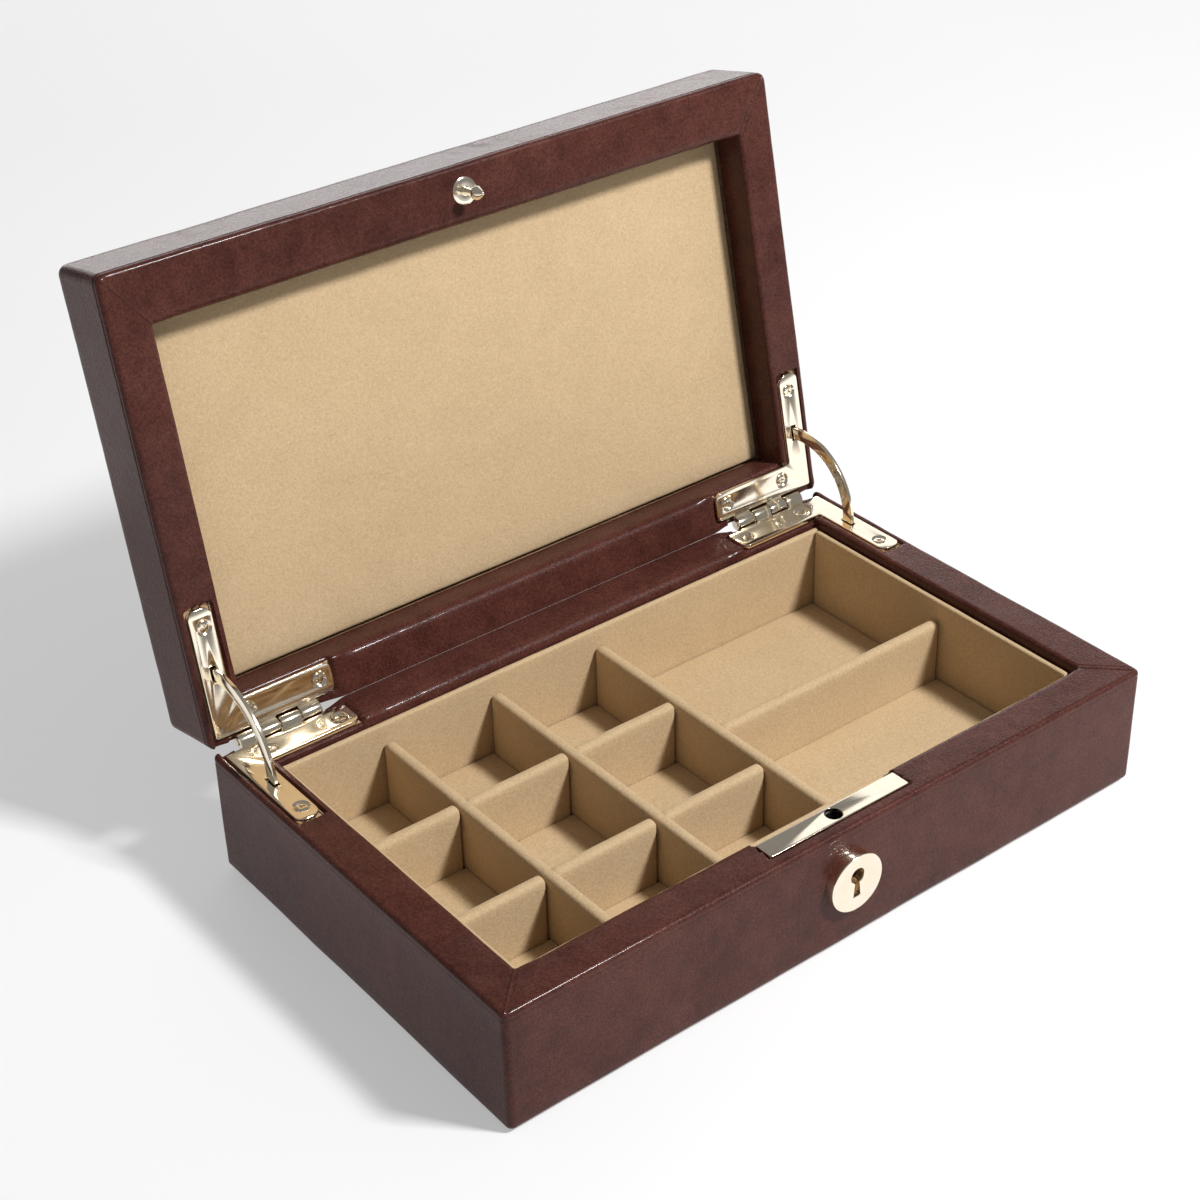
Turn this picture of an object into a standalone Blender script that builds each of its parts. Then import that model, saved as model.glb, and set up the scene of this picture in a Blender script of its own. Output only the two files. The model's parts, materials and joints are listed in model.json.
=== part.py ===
"""Leather-covered jewellery case with a suede-lined tray, box hinges with stays, and a small lock.

The case stands on the plane z = 0 with its origin at the centre of the underside. +X runs along the
width to the right, +Y to the back and +Z up. The lid is built closed, on an empty that lies on the
hinge axis, and the empty then swings the lid open. Metres throughout.
"""
import math

import bmesh
import bpy
from mathutils import Matrix, Vector

# ---------------------------------------------------------------- driving dimensions (metres)
CASE_WIDTH = 0.2300
CASE_DEPTH = 0.1385
AXIS_HEIGHT = 0.0400            # hinge axis and parting plane
LID_TOP = 0.0660                # top of the closed lid
RIM_CLEARANCE = 0.0003          # from each rim to the parting plane
LID_OPEN_DEGREES = 102.0

LEATHER = 0.0010
BOARD = 0.0104                  # side boards, across the rim
LID_FRONT_EXTRA = 0.0039        # the lid's front board is this much wider
FIT = 0.0003                    # gap between touching pieces
FELT_THICKNESS = 0.0006
FELT_INSET = 0.0040
BASE_PANEL = 0.0030             # plywood bottom of the base
LID_PANEL = 0.0063              # board under the top of the lid
BASE_LIP = 0.0080               # how far the leather turns down inside each rim
LID_LIP = 0.0117
EDGE_RADIUS = 0.0010
CORNER_RADIUS = 0.0015
LID_EDGE_RADIUS = 0.0030

TRAY_DROP = 0.0031              # tray walls end this far below the base rim
TRAY_WALL = 0.0020
TRAY_FLOOR = 0.0038
DIVIDER = 0.0040
DIVIDER_TOP = 0.0303
DIVIDER_RADIUS = 0.0012
COLUMN_PLACES = (-0.0664, -0.0283, 0.0110)
ROW_PLACES = (-0.0230, 0.0165)
WIDE_ROW_PLACE = -0.0018
LID_LINING = 0.0058

LEAF = 0.0015
LEAF_PROUD = 0.0002             # leaf face to the parting plane
LEAF_LEG = 0.0074
LEAF_INSET = 0.0027             # leaf edge to the outer side of the case
LEAF_LENGTH = 0.0420
LEAF_BACK_LEG = (0.0029, 0.0122)
LEAF_CORNER = 0.0022
LEAF_SCREWS = ((0.0068, 0.0365), (0.0143, 0.0080), (0.0375, 0.0080))
KNUCKLE_RADIUS = 0.0023
KNUCKLE_START = 0.0085
KNUCKLE_LENGTH = 0.00645
KNUCKLE_PITCH = 0.00685
PIN_RADIUS = 0.0010

STAY_INSET = 0.0066
STAY_THICKNESS = 0.0012
STAY_RADII = (0.0199, 0.0239)
STAY_HEAD_RADII = (0.0190, 0.0248)
STAY_OVERLAP_DEGREES = 10.0     # arc beyond each leaf while the lid is open
STAY_HEAD_DEGREES = 4.0

SCREW_HEAD_RADIUS = 0.0019
SCREW_SHANK_RADIUS = 0.0010
SCREW_LENGTH = 0.0090
SCREW_SINK = 0.0011

LOCK_INSET = 0.0075             # lock and stud centre line to the front of the case
PLATE_SIZE = (0.0500, 0.0064, 0.0012)
STUD_HOLE_RADIUS = 0.0025
LOCK_CASE_SIZE = (0.0400, 0.0060)
LOCK_CASE_WALL = 0.0006
LOCK_CASE_HEIGHTS = (0.0120, 0.0382)
BOLT_TRAVEL = 0.0040
ESCUTCHEON_RADIUS = 0.0091
ESCUTCHEON_HEIGHT = 0.0223
ESCUTCHEON_PROUD = 0.0028
KEYHOLE_RADIUS = 0.0024
KEYHOLE_RISE = 0.0024           # keyhole's round part above the escutcheon's centre

# ---------------------------------------------------------------- worked-out dimensions
HALF_WIDTH = CASE_WIDTH / 2
HALF_DEPTH = CASE_DEPTH / 2
LEATHER_BOTTOM = FELT_THICKNESS + FIT
BOARD_OUT = LEATHER + FIT                   # insets from the outer face of the leather
BOARD_IN = BOARD_OUT + BOARD
LIP_OUT = BOARD_IN + FIT
RIM_WIDTH = LIP_OUT + LEATHER
TRAY_OUT = RIM_WIDTH + FIT
TRAY_IN = TRAY_OUT + TRAY_WALL
BASE_RIM = AXIS_HEIGHT - RIM_CLEARANCE
LID_RIM = AXIS_HEIGHT + RIM_CLEARANCE
FLOOR_BOTTOM = LEATHER_BOTTOM + BOARD_OUT
TRAY_BOTTOM = FLOOR_BOTTOM + BASE_PANEL + FIT
TRAY_TOP = TRAY_BOTTOM + TRAY_FLOOR
KEYHOLE_HEIGHT = ESCUTCHEON_HEIGHT + KEYHOLE_RISE
LOCK_Y = LOCK_INSET - HALF_DEPTH
BIG = 0.0500                                # overshoot of cutters past a face


# ---------------------------------------------------------------- scene, materials, helpers
def start_scene():
    for item in list(bpy.data.objects):
        bpy.data.objects.remove(item)


def new_collection(name):
    collection = bpy.data.collections.new(name)
    bpy.context.scene.collection.children.link(collection)
    return collection


start_scene()
PARTS = new_collection("jewellery_case")
CUTTERS = new_collection("cutters")


def make_material(name, colour, roughness, metallic=0.0):
    material = bpy.data.materials.new(name)
    material.use_nodes = True
    shader = material.node_tree.nodes["Principled BSDF"]
    shader.inputs["Base Color"].default_value = (*colour, 1.0)
    shader.inputs["Roughness"].default_value = roughness
    shader.inputs["Metallic"].default_value = metallic
    material.diffuse_color = (*colour, 1.0)
    return material


LEATHER_FINISH = make_material("burgundy_leather", (0.085, 0.028, 0.022), 0.35)
SUEDE_FINISH = make_material("tan_suede", (0.56, 0.40, 0.22), 0.95)
WOOD_FINISH = make_material("poplar_board", (0.52, 0.38, 0.24), 0.70)
FELT_FINISH = make_material("brown_felt", (0.10, 0.06, 0.04), 0.95)
GOLD_FINISH = make_material("pale_gold_plate", (0.86, 0.74, 0.50), 0.18, 1.0)
STEEL_FINISH = make_material("spring_steel", (0.55, 0.55, 0.56), 0.35, 1.0)


def place_mesh(name, mesh, material, collection, matrix=None):
    item = bpy.data.objects.new(name, mesh)
    collection.objects.link(item)
    if material is not None:
        mesh.materials.clear()
        mesh.materials.append(material)
    if matrix is not None:
        item.matrix_world = matrix
    return item


def as_cutter(item):
    item.display_type = "WIRE"
    item.hide_render = True
    return item


def box_mesh(name, size):
    mesh = bpy.data.meshes.new(name)
    shape = bmesh.new()
    bmesh.ops.create_cube(shape, size=1.0, matrix=Matrix.Diagonal((*size, 1.0)))
    shape.to_mesh(mesh)
    shape.free()
    return mesh


def span(first, second):
    """Lowest and highest corner of the box between two opposite corners."""
    low = Vector(min(a, b) for a, b in zip(first, second))
    high = Vector(max(a, b) for a, b in zip(first, second))
    return low, high


def box(name, first, second, material, radius=0.0, collection=PARTS):
    low, high = span(first, second)
    item = place_mesh(name, box_mesh(name, high - low), material, collection)
    item.location = (low + high) / 2
    if radius:
        rounding = item.modifiers.new("rounding", "BEVEL")
        rounding.width = radius
        rounding.segments = 2
    return item


def cutter_box(name, first, second):
    return as_cutter(box(name, first, second, None, collection=CUTTERS))


def axis_matrix(centre, direction):
    """A matrix that turns +Z to the direction and moves the origin to the centre."""
    turn = Vector((0.0, 0.0, 1.0)).rotation_difference(Vector(direction)).to_matrix().to_4x4()
    return Matrix.Translation(Vector(centre)) @ turn


def cylinder(name, radius, length, centre, direction, material, sides=24, collection=PARTS):
    mesh = bpy.data.meshes.new(name)
    shape = bmesh.new()
    bmesh.ops.create_cone(shape, cap_ends=True, segments=sides, radius1=radius, radius2=radius, depth=length)
    shape.to_mesh(mesh)
    shape.free()
    item = place_mesh(name, mesh, material, collection, axis_matrix(centre, direction))
    smooth_round(mesh)
    return item


def cutter_cylinder(name, radius, length, centre, direction, sides=24):
    return as_cutter(cylinder(name, radius, length, centre, direction, None, sides, CUTTERS))


def smooth_round(mesh):
    mesh.shade_smooth()
    mesh.set_sharp_from_angle(angle=math.radians(30))


def turned(name, profile, centre, direction, material, steps=24, collection=PARTS):
    """Turn a profile of (radius, height) points, listed from the top down, about its Z axis."""
    mesh = bpy.data.meshes.new(name)
    shape = bmesh.new()
    corners = [shape.verts.new((radius, 0.0, height)) for radius, height in profile]
    for upper, lower in zip(corners, corners[1:]):
        shape.edges.new((upper, lower))
    shape.to_mesh(mesh)
    shape.free()
    item = place_mesh(name, mesh, material, collection, axis_matrix(centre, direction))
    turning = item.modifiers.new("turning", "SCREW")
    turning.steps = steps
    turning.render_steps = steps
    turning.use_merge_vertices = True
    turning.merge_threshold = 0.00001
    return item


def boolean(item, cutter, operation):
    step = item.modifiers.new(operation.lower(), "BOOLEAN")
    step.operation = operation
    step.solver = "EXACT"
    step.object = cutter
    return item


def cut(item, *cutters):
    for cutter in cutters:
        boolean(item, cutter, "DIFFERENCE")
    return item


def join(item, *others):
    for other in others:
        boolean(item, as_cutter(other), "UNION")
    return item


def evaluated_mesh(item, name):
    """The object's mesh with its modifiers or curve settings worked in, and its caps welded."""
    bpy.context.view_layer.update()
    graph = bpy.context.evaluated_depsgraph_get()
    mesh = bpy.data.meshes.new_from_object(item.evaluated_get(graph))
    mesh.name = name
    shape = bmesh.new()
    shape.from_mesh(mesh)
    bmesh.ops.remove_doubles(shape, verts=shape.verts, dist=0.000001)
    shape.to_mesh(mesh)
    shape.free()
    return mesh


def outline_plate(name, outline, thickness, matrix, material):
    """A flat plate from a closed outline in its own XY plane, centred on that plane."""
    curve = bpy.data.curves.new(name, "CURVE")
    curve.dimensions = "2D"
    curve.fill_mode = "BOTH"
    curve.extrude = thickness / 2
    spline = curve.splines.new("POLY")
    spline.points.add(len(outline) - 1)
    for point, (x, y) in zip(spline.points, outline):
        point.co = (x, y, 0.0, 1.0)
    spline.use_cyclic_u = True
    drawn = bpy.data.objects.new(name + "_outline", curve)
    PARTS.objects.link(drawn)
    mesh = evaluated_mesh(drawn, name)
    bpy.data.objects.remove(drawn)
    return place_mesh(name, mesh, material, PARTS, matrix)


def rounded_corner(corner, radius, start_degrees, end_degrees, steps=4):
    """Arc points about a centre set in from a right-angled corner by the radius on both sides."""
    middle = math.radians((start_degrees + end_degrees) / 2)
    reach = radius * math.sqrt(2)
    centre = (corner[0] - reach * math.cos(middle), corner[1] - reach * math.sin(middle))
    points = []
    for step in range(steps + 1):
        angle = math.radians(start_degrees + (end_degrees - start_degrees) * step / steps)
        points.append((centre[0] + radius * math.cos(angle), centre[1] + radius * math.sin(angle)))
    return points


# ---------------------------------------------------------------- places
def side_x(side, inset):
    """X at an inset from the outer face of the left (-1) or right (+1) side."""
    return side * (HALF_WIDTH - inset)


def back_y(distance):
    """Y at a distance in front of the hinge axis, which lies on the back face."""
    return HALF_DEPTH - distance


def half_z(half, distance):
    """Z at a distance from the parting plane, down into the base (-1) or up into the lid (+1)."""
    return AXIS_HEIGHT + half * distance


SIDES = (("left", -1), ("right", 1))
HALVES = (("base", -1), ("lid", 1))


# ---------------------------------------------------------------- boards and leather
def make_boards(prefix, half, outer, panel, front_extra=0.0):
    """Four side boards and a panel; the end boards run the full depth, with the others between."""
    rim = half_z(half, RIM_CLEARANCE + BOARD_OUT)
    outer_face = outer - half * BOARD_OUT
    end_y = HALF_DEPTH - BOARD_OUT
    between = HALF_WIDTH - BOARD_IN - FIT
    boards = {}
    for label, side in SIDES:
        first = (side_x(side, BOARD_OUT), -end_y, outer_face)
        second = (side_x(side, BOARD_IN), end_y, rim)
        boards[label] = box(f"{prefix}_{label}_board", first, second, WOOD_FINISH)
    for label, side, extra in (("front", -1, front_extra), ("back", 1, 0.0)):
        first = (-between, side * end_y, outer_face)
        second = (between, side * (HALF_DEPTH - BOARD_IN - extra), rim)
        boards[label] = box(f"{prefix}_{label}_board", first, second, WOOD_FINISH)
    panel_y = HALF_DEPTH - BOARD_IN - FIT
    name = "base_floor_board" if half < 0 else "lid_top_board"
    box(name, (-between, front_extra - panel_y, outer_face), (between, panel_y, outer_face - half * panel),
        WOOD_FINISH)
    return boards


def bevel_edges(shape, chosen, radius, segments):
    bmesh.ops.bevel(shape, geom=chosen, offset=radius, segments=segments, affect="EDGES", profile=0.5)


def rounded_block(name, size, rim_side, outer_radius):
    """A block with rounded upright edges, a small radius round the rim and a larger one outside."""
    mesh = box_mesh(name, size)
    shape = bmesh.new()
    shape.from_mesh(mesh)
    upright = [edge for edge in shape.edges if abs(edge.verts[0].co.z - edge.verts[1].co.z) > size[2] / 2]
    bevel_edges(shape, upright, CORNER_RADIUS, 2)
    for level, radius, segments in ((rim_side, EDGE_RADIUS, 2), (-rim_side, outer_radius, 4)):
        height = level * size[2] / 2
        loop = [edge for edge in shape.edges if all(abs(v.co.z - height) < 1e-6 for v in edge.verts)]
        bevel_edges(shape, loop, radius, segments)
    shape.to_mesh(mesh)
    shape.free()
    smooth_round(mesh)
    return mesh


def make_leather(prefix, half, outer, lip, outer_radius, front_extra=0.0):
    """The leather skin of one half: outside, rim, inner lip and, on the base, a turned-in edge below."""
    rim = half_z(half, RIM_CLEARANCE)
    size = (CASE_WIDTH, CASE_DEPTH, abs(outer - rim))
    mesh = rounded_block(f"{prefix}_leather", size, -half, outer_radius)
    cover = place_mesh(f"{prefix}_leather", mesh, LEATHER_FINISH, PARTS)
    cover.location.z = (rim + outer) / 2

    chamber = (HALF_WIDTH - LEATHER, HALF_DEPTH - LEATHER)
    inside = cutter_box(f"{prefix}_chamber", (-chamber[0], -chamber[1], rim + half * LEATHER),
                        (*chamber, outer - half * LEATHER))
    lip_ring = (HALF_WIDTH - LIP_OUT, HALF_DEPTH - LIP_OUT)
    lip_block = cutter_box(f"{prefix}_lip", (-lip_ring[0], front_extra - lip_ring[1], rim + half * lip),
                           (*lip_ring, rim + half * LEATHER / 2))
    opening = (HALF_WIDTH - RIM_WIDTH, HALF_DEPTH - RIM_WIDTH)
    far_side = outer + half * BIG if half < 0 else outer - half * LEATHER * 2
    hollow = cutter_box(f"{prefix}_opening", (-opening[0], front_extra - opening[1], rim - half * BIG),
                        (*opening, far_side))
    cut(cover, inside)
    join(cover, lip_block)
    cut(cover, hollow)
    return cover


# ---------------------------------------------------------------- hinges and stays
def hinge_recess(half, label, side):
    """Cutters for one leaf: its two legs and the room round the knuckles."""
    deep = half_z(half, LEAF_PROUD + LEAF + FIT)
    high = half_z(half, -BIG)
    outer_x = side_x(side, LEAF_INSET - FIT)
    inner_x = side_x(side, LEAF_INSET + LEAF_LEG + FIT)
    end_x = side_x(side, LEAF_LENGTH + 0.0015)
    name = f"{'base' if half < 0 else 'lid'}_{label}"
    side_leg = cutter_box(f"{name}_side_recess", (outer_x, back_y(-BIG), deep),
                          (inner_x, back_y(LEAF_LENGTH + FIT), high))
    back_leg = cutter_box(f"{name}_back_recess", (outer_x, back_y(-BIG), deep),
                          (end_x, back_y(LEAF_BACK_LEG[1] + FIT), high))
    length = 4 * KNUCKLE_PITCH + 0.0012
    middle = side_x(side, KNUCKLE_START + 2 * KNUCKLE_PITCH)
    barrel = cutter_cylinder(f"{name}_barrel_room", KNUCKLE_RADIUS + 0.0005, length,
                             (middle, back_y(0.0), AXIS_HEIGHT), (1, 0, 0))
    return side_leg, back_leg, barrel


def stay_pocket(half, label, side):
    """The slot-shaped pocket in a side board that swallows one end of a stay."""
    name = f"{'base' if half < 0 else 'lid'}_{label}_stay_pocket"
    half_width = STAY_THICKNESS / 2 + 0.0008
    centre = side_x(side, STAY_INSET)
    return cutter_box(name, (centre - half_width, back_y(STAY_HEAD_RADII[1] + 0.0005), half_z(half, -BIG)),
                      (centre + half_width, back_y(0.0086), half_z(half, 0.0225)))


def screw_mesh():
    """A countersunk wood screw with a cross recess, its head's face at the origin."""
    tip = 0.0014
    profile = [(0.0, 0.0), (SCREW_HEAD_RADIUS, 0.0), (SCREW_SHANK_RADIUS, -SCREW_SINK),
               (SCREW_SHANK_RADIUS, tip - SCREW_LENGTH), (0.0, -SCREW_LENGTH)]
    pattern = turned("screw_pattern", profile, (0, 0, 0), (0, 0, 1), GOLD_FINISH, steps=16)
    reach = 0.0012
    half_width = 0.00025
    depth = 0.0006
    across = cutter_box("recess_across", (-reach, -half_width, -depth), (reach, half_width, depth))
    along = cutter_box("recess_along", (-half_width, -reach, -depth), (half_width, reach, depth))
    cut(pattern, across, along)
    mesh = evaluated_mesh(pattern, "screw")
    for item in (pattern, across, along):
        bpy.data.objects.remove(item)
    smooth_round(mesh)
    return mesh


def leaf_outline():
    """The L of a leaf as (inset from the side, distance in front of the axis)."""
    outer = LEAF_INSET
    inner = LEAF_INSET + LEAF_LEG
    near, far = LEAF_BACK_LEG
    points = [(outer, near)]
    points += rounded_corner((LEAF_LENGTH, near), LEAF_CORNER / 2, -90, 0)
    points += rounded_corner((LEAF_LENGTH, far), LEAF_CORNER, 0, 90)
    points.append((inner, far))
    points += rounded_corner((inner, LEAF_LENGTH), LEAF_CORNER, 0, 90)
    points += rounded_corner((outer, LEAF_LENGTH), LEAF_CORNER, 90, 180)
    return points


def make_leaf(half_name, half, label, side):
    name = f"{half_name}_{label}_hinge_leaf"
    outline = [(side_x(side, inset), back_y(distance)) for inset, distance in leaf_outline()]
    face = half_z(half, LEAF_PROUD)
    under = half_z(half, LEAF_PROUD + LEAF)
    leaf = outline_plate(name, outline, LEAF, Matrix.Translation((0, 0, (face + under) / 2)), GOLD_FINISH)

    first_knuckle = 0 if half < 0 else 1
    for number in (first_knuckle, first_knuckle + 2):
        start = KNUCKLE_START + number * KNUCKLE_PITCH
        centre = side_x(side, start + KNUCKLE_LENGTH / 2)
        tongue = box(f"{name}_tongue_{number}", (side_x(side, start), back_y(LEAF_BACK_LEG[0] + 0.0006), under),
                     (side_x(side, start + KNUCKLE_LENGTH), back_y(0.0), face), None, collection=CUTTERS)
        knuckle = cylinder(f"{name}_knuckle_{number}", KNUCKLE_RADIUS, KNUCKLE_LENGTH,
                           (centre, back_y(0.0), AXIS_HEIGHT), (1, 0, 0), None, collection=CUTTERS)
        join(leaf, tongue, knuckle)

    pin_room = cutter_cylinder(f"{name}_pin_room", PIN_RADIUS + FIT, 4 * KNUCKLE_PITCH + 0.002,
                               (side_x(side, KNUCKLE_START + 2 * KNUCKLE_PITCH), back_y(0.0), AXIS_HEIGHT), (1, 0, 0))
    slot_half = STAY_THICKNESS / 2 + 0.0004
    slot_x = side_x(side, STAY_INSET)
    slot = cutter_box(f"{name}_slot", (slot_x - slot_half, back_y(STAY_RADII[1] + 0.0005), face - half * BIG),
                      (slot_x + slot_half, back_y(STAY_RADII[0] - 0.0006), under + half * BIG))
    cut(leaf, pin_room, slot)
    for number, (inset, distance) in enumerate(LEAF_SCREWS):
        profile = [(0.0, 0.0005), (SCREW_HEAD_RADIUS + FIT, 0.0005), (SCREW_HEAD_RADIUS + FIT, 0.0),
                   (SCREW_SHANK_RADIUS + FIT, -SCREW_SINK), (SCREW_SHANK_RADIUS + FIT, -3 * LEAF),
                   (0.0, -3 * LEAF)]
        sink = turned(f"{name}_sink_{number}", profile, (side_x(side, inset), back_y(distance), face),
                      (0, 0, -half), None, 24, CUTTERS)
        cut(leaf, as_cutter(sink))
    return leaf


def pilot_hole(half_name, half, label, side, number):
    inset, distance = LEAF_SCREWS[number]
    depth = SCREW_LENGTH + 0.0005
    centre = (side_x(side, inset), back_y(distance), half_z(half, depth / 2))
    return cutter_cylinder(f"{half_name}_{label}_pilot_{number}", SCREW_SHANK_RADIUS + FIT, depth + 0.0005,
                           centre, (0, 0, 1), 16)


def make_screws(mesh, half_name, half, label, side):
    screws = []
    for number, (inset, distance) in enumerate(LEAF_SCREWS):
        centre = (side_x(side, inset), back_y(distance), half_z(half, LEAF_PROUD + 0.00005))
        matrix = axis_matrix(centre, (0, 0, -half))
        screws.append(place_mesh(f"{half_name}_{label}_screw_{number + 1}", mesh, None, PARTS, matrix))
    return screws


def stay_outline():
    """The arc of a stay and its two heads, as points about the hinge axis."""
    start = -STAY_OVERLAP_DEGREES
    end = LID_OPEN_DEGREES + STAY_OVERLAP_DEGREES
    neck_start = start + STAY_HEAD_DEGREES
    neck_end = end - STAY_HEAD_DEGREES
    inner, outer = STAY_RADII
    head_inner, head_outer = STAY_HEAD_RADII

    def polar(radius, degrees):
        angle = math.radians(degrees)
        return radius * math.cos(angle), radius * math.sin(angle)

    steps = 18
    angles = [neck_start + (neck_end - neck_start) * step / steps for step in range(steps + 1)]
    points = [polar(head_inner, start), polar(head_outer, start), polar(head_outer, neck_start)]
    points += [polar(outer, angle) for angle in angles]
    points += [polar(head_outer, neck_end), polar(head_outer, end), polar(head_inner, end)]
    points.append(polar(head_inner, neck_end))
    points += [polar(inner, angle) for angle in reversed(angles)]
    points.append(polar(head_inner, neck_start))
    return points


def make_stay(label, side):
    """A stay lies in a plane across the axis: its own X points forward and its own Y up."""
    turn = Matrix(((0, 0, -1), (-1, 0, 0), (0, 1, 0))).to_4x4()
    centre = Matrix.Translation((side_x(side, STAY_INSET), back_y(0.0), AXIS_HEIGHT))
    return outline_plate(f"{label}_stay", stay_outline(), STAY_THICKNESS, centre @ turn, GOLD_FINISH)


def make_pin(label, side):
    length = 4 * KNUCKLE_PITCH - 0.0004 + 0.0006
    centre = (side_x(side, KNUCKLE_START + 2 * KNUCKLE_PITCH - 0.0002), back_y(0.0), AXIS_HEIGHT)
    return cylinder(f"{label}_hinge_pin", PIN_RADIUS, length, centre, (1, 0, 0), GOLD_FINISH, 16)


# ---------------------------------------------------------------- tray
def make_tray():
    wall_top = BASE_RIM - TRAY_DROP
    outer = (HALF_WIDTH - TRAY_OUT, HALF_DEPTH - TRAY_OUT)
    inner = (HALF_WIDTH - TRAY_IN, HALF_DEPTH - TRAY_IN)
    for label, side in (("front", -1), ("back", 1)):
        box(f"tray_{label}_wall", (-outer[0], side * outer[1], TRAY_BOTTOM), (outer[0], side * inner[1], wall_top),
            SUEDE_FINISH, TRAY_WALL * 0.4)
    for label, side in SIDES:
        box(f"tray_{label}_wall", (side * outer[0], -inner[1] + FIT, TRAY_BOTTOM),
            (side * inner[0], inner[1] - FIT, wall_top), SUEDE_FINISH, TRAY_WALL * 0.4)
    floor = (inner[0] - FIT, inner[1] - FIT)
    box("tray_floor", (-floor[0], -floor[1], TRAY_BOTTOM), (*floor, TRAY_TOP), SUEDE_FINISH)

    foot = TRAY_TOP + FIT
    for number, place in enumerate(COLUMN_PLACES):
        box(f"column_divider_{number + 1}", (place - DIVIDER / 2, -floor[1], foot),
            (place + DIVIDER / 2, floor[1], DIVIDER_TOP), SUEDE_FINISH, DIVIDER_RADIUS)
    ends = [-floor[0] - DIVIDER / 2 - FIT, *COLUMN_PLACES, floor[0] + DIVIDER / 2 + FIT]
    gap = DIVIDER / 2 + FIT
    for column in range(3):
        for row, place in enumerate(ROW_PLACES):
            box(f"row_divider_{column + 1}{'ab'[row]}", (ends[column] + gap, place - DIVIDER / 2, foot),
                (ends[column + 1] - gap, place + DIVIDER / 2, DIVIDER_TOP), SUEDE_FINISH, DIVIDER_RADIUS)
    box("wide_divider", (ends[3] + gap, WIDE_ROW_PLACE - DIVIDER / 2, foot),
        (ends[4] - gap, WIDE_ROW_PLACE + DIVIDER / 2, DIVIDER_TOP), SUEDE_FINISH, DIVIDER_RADIUS)


# ---------------------------------------------------------------- lock
def lock_cutters():
    """Room in the front board and leather for the lock, its face plate and the keyhole."""
    half_plate = (PLATE_SIZE[0] / 2 + FIT, PLATE_SIZE[1] / 2 + FIT)
    plate_room = cutter_box("plate_room", (-half_plate[0], LOCK_Y - half_plate[1], BASE_RIM - PLATE_SIZE[2] - FIT),
                            (half_plate[0], LOCK_Y + half_plate[1], BASE_RIM + BIG))
    half_case = (LOCK_CASE_SIZE[0] / 2 + FIT, LOCK_CASE_SIZE[1] / 2 + FIT)
    case_room = cutter_box("lock_case_room", (-half_case[0], LOCK_Y - half_case[1], LOCK_CASE_HEIGHTS[0] - FIT),
                           (half_case[0], LOCK_Y + half_case[1], BASE_RIM + BIG))
    keyway = cutter_cylinder("keyway", KEYHOLE_RADIUS + 0.0006, 0.0070,
                             (0, -HALF_DEPTH + 0.0030, KEYHOLE_HEIGHT), (0, 1, 0))
    disc_room = cutter_cylinder("escutcheon_room", ESCUTCHEON_RADIUS + FIT, 0.0040,
                                (0, -HALF_DEPTH - 0.0010, ESCUTCHEON_HEIGHT), (0, 1, 0), 48)
    return plate_room, case_room, keyway, disc_room


def keyhole_outline():
    """A keyhole's round part and its flared slot, about the round part's centre."""
    slot_half_top = 0.0008
    slot_half_foot = 0.0013
    foot = -0.0070
    corner = math.degrees(math.asin(slot_half_top / KEYHOLE_RADIUS))
    start = -90 + corner
    end = 270 - corner
    points = []
    steps = 16
    for step in range(steps + 1):
        angle = math.radians(start + (end - start) * step / steps)
        points.append((KEYHOLE_RADIUS * math.cos(angle), KEYHOLE_RADIUS * math.sin(angle)))
    points += [(-slot_half_foot, foot), (slot_half_foot, foot)]
    return points


def facing_front(centre):
    """A matrix whose own X is the case's X, own Y its Z, and own Z points to the front."""
    turn = Matrix(((1, 0, 0), (0, 0, -1), (0, 1, 0))).to_4x4()
    return Matrix.Translation(Vector(centre)) @ turn


def make_escutcheon():
    back = BOARD_OUT - FIT - HALF_DEPTH
    front = -HALF_DEPTH - ESCUTCHEON_PROUD
    bevel = 0.0004
    depth = back - front
    profile = [(0.0, depth), (ESCUTCHEON_RADIUS - bevel, depth), (ESCUTCHEON_RADIUS, depth - bevel),
               (ESCUTCHEON_RADIUS, 0.0), (0.0, 0.0)]
    disc = turned("escutcheon", profile, (0, back, ESCUTCHEON_HEIGHT), (0, -1, 0), GOLD_FINISH, 48)
    keyhole = outline_plate("keyhole_cutter", keyhole_outline(), 0.0100,
                            facing_front((0, -HALF_DEPTH, KEYHOLE_HEIGHT)), None)
    PARTS.objects.unlink(keyhole)
    CUTTERS.objects.link(keyhole)
    return cut(disc, as_cutter(keyhole))


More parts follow.
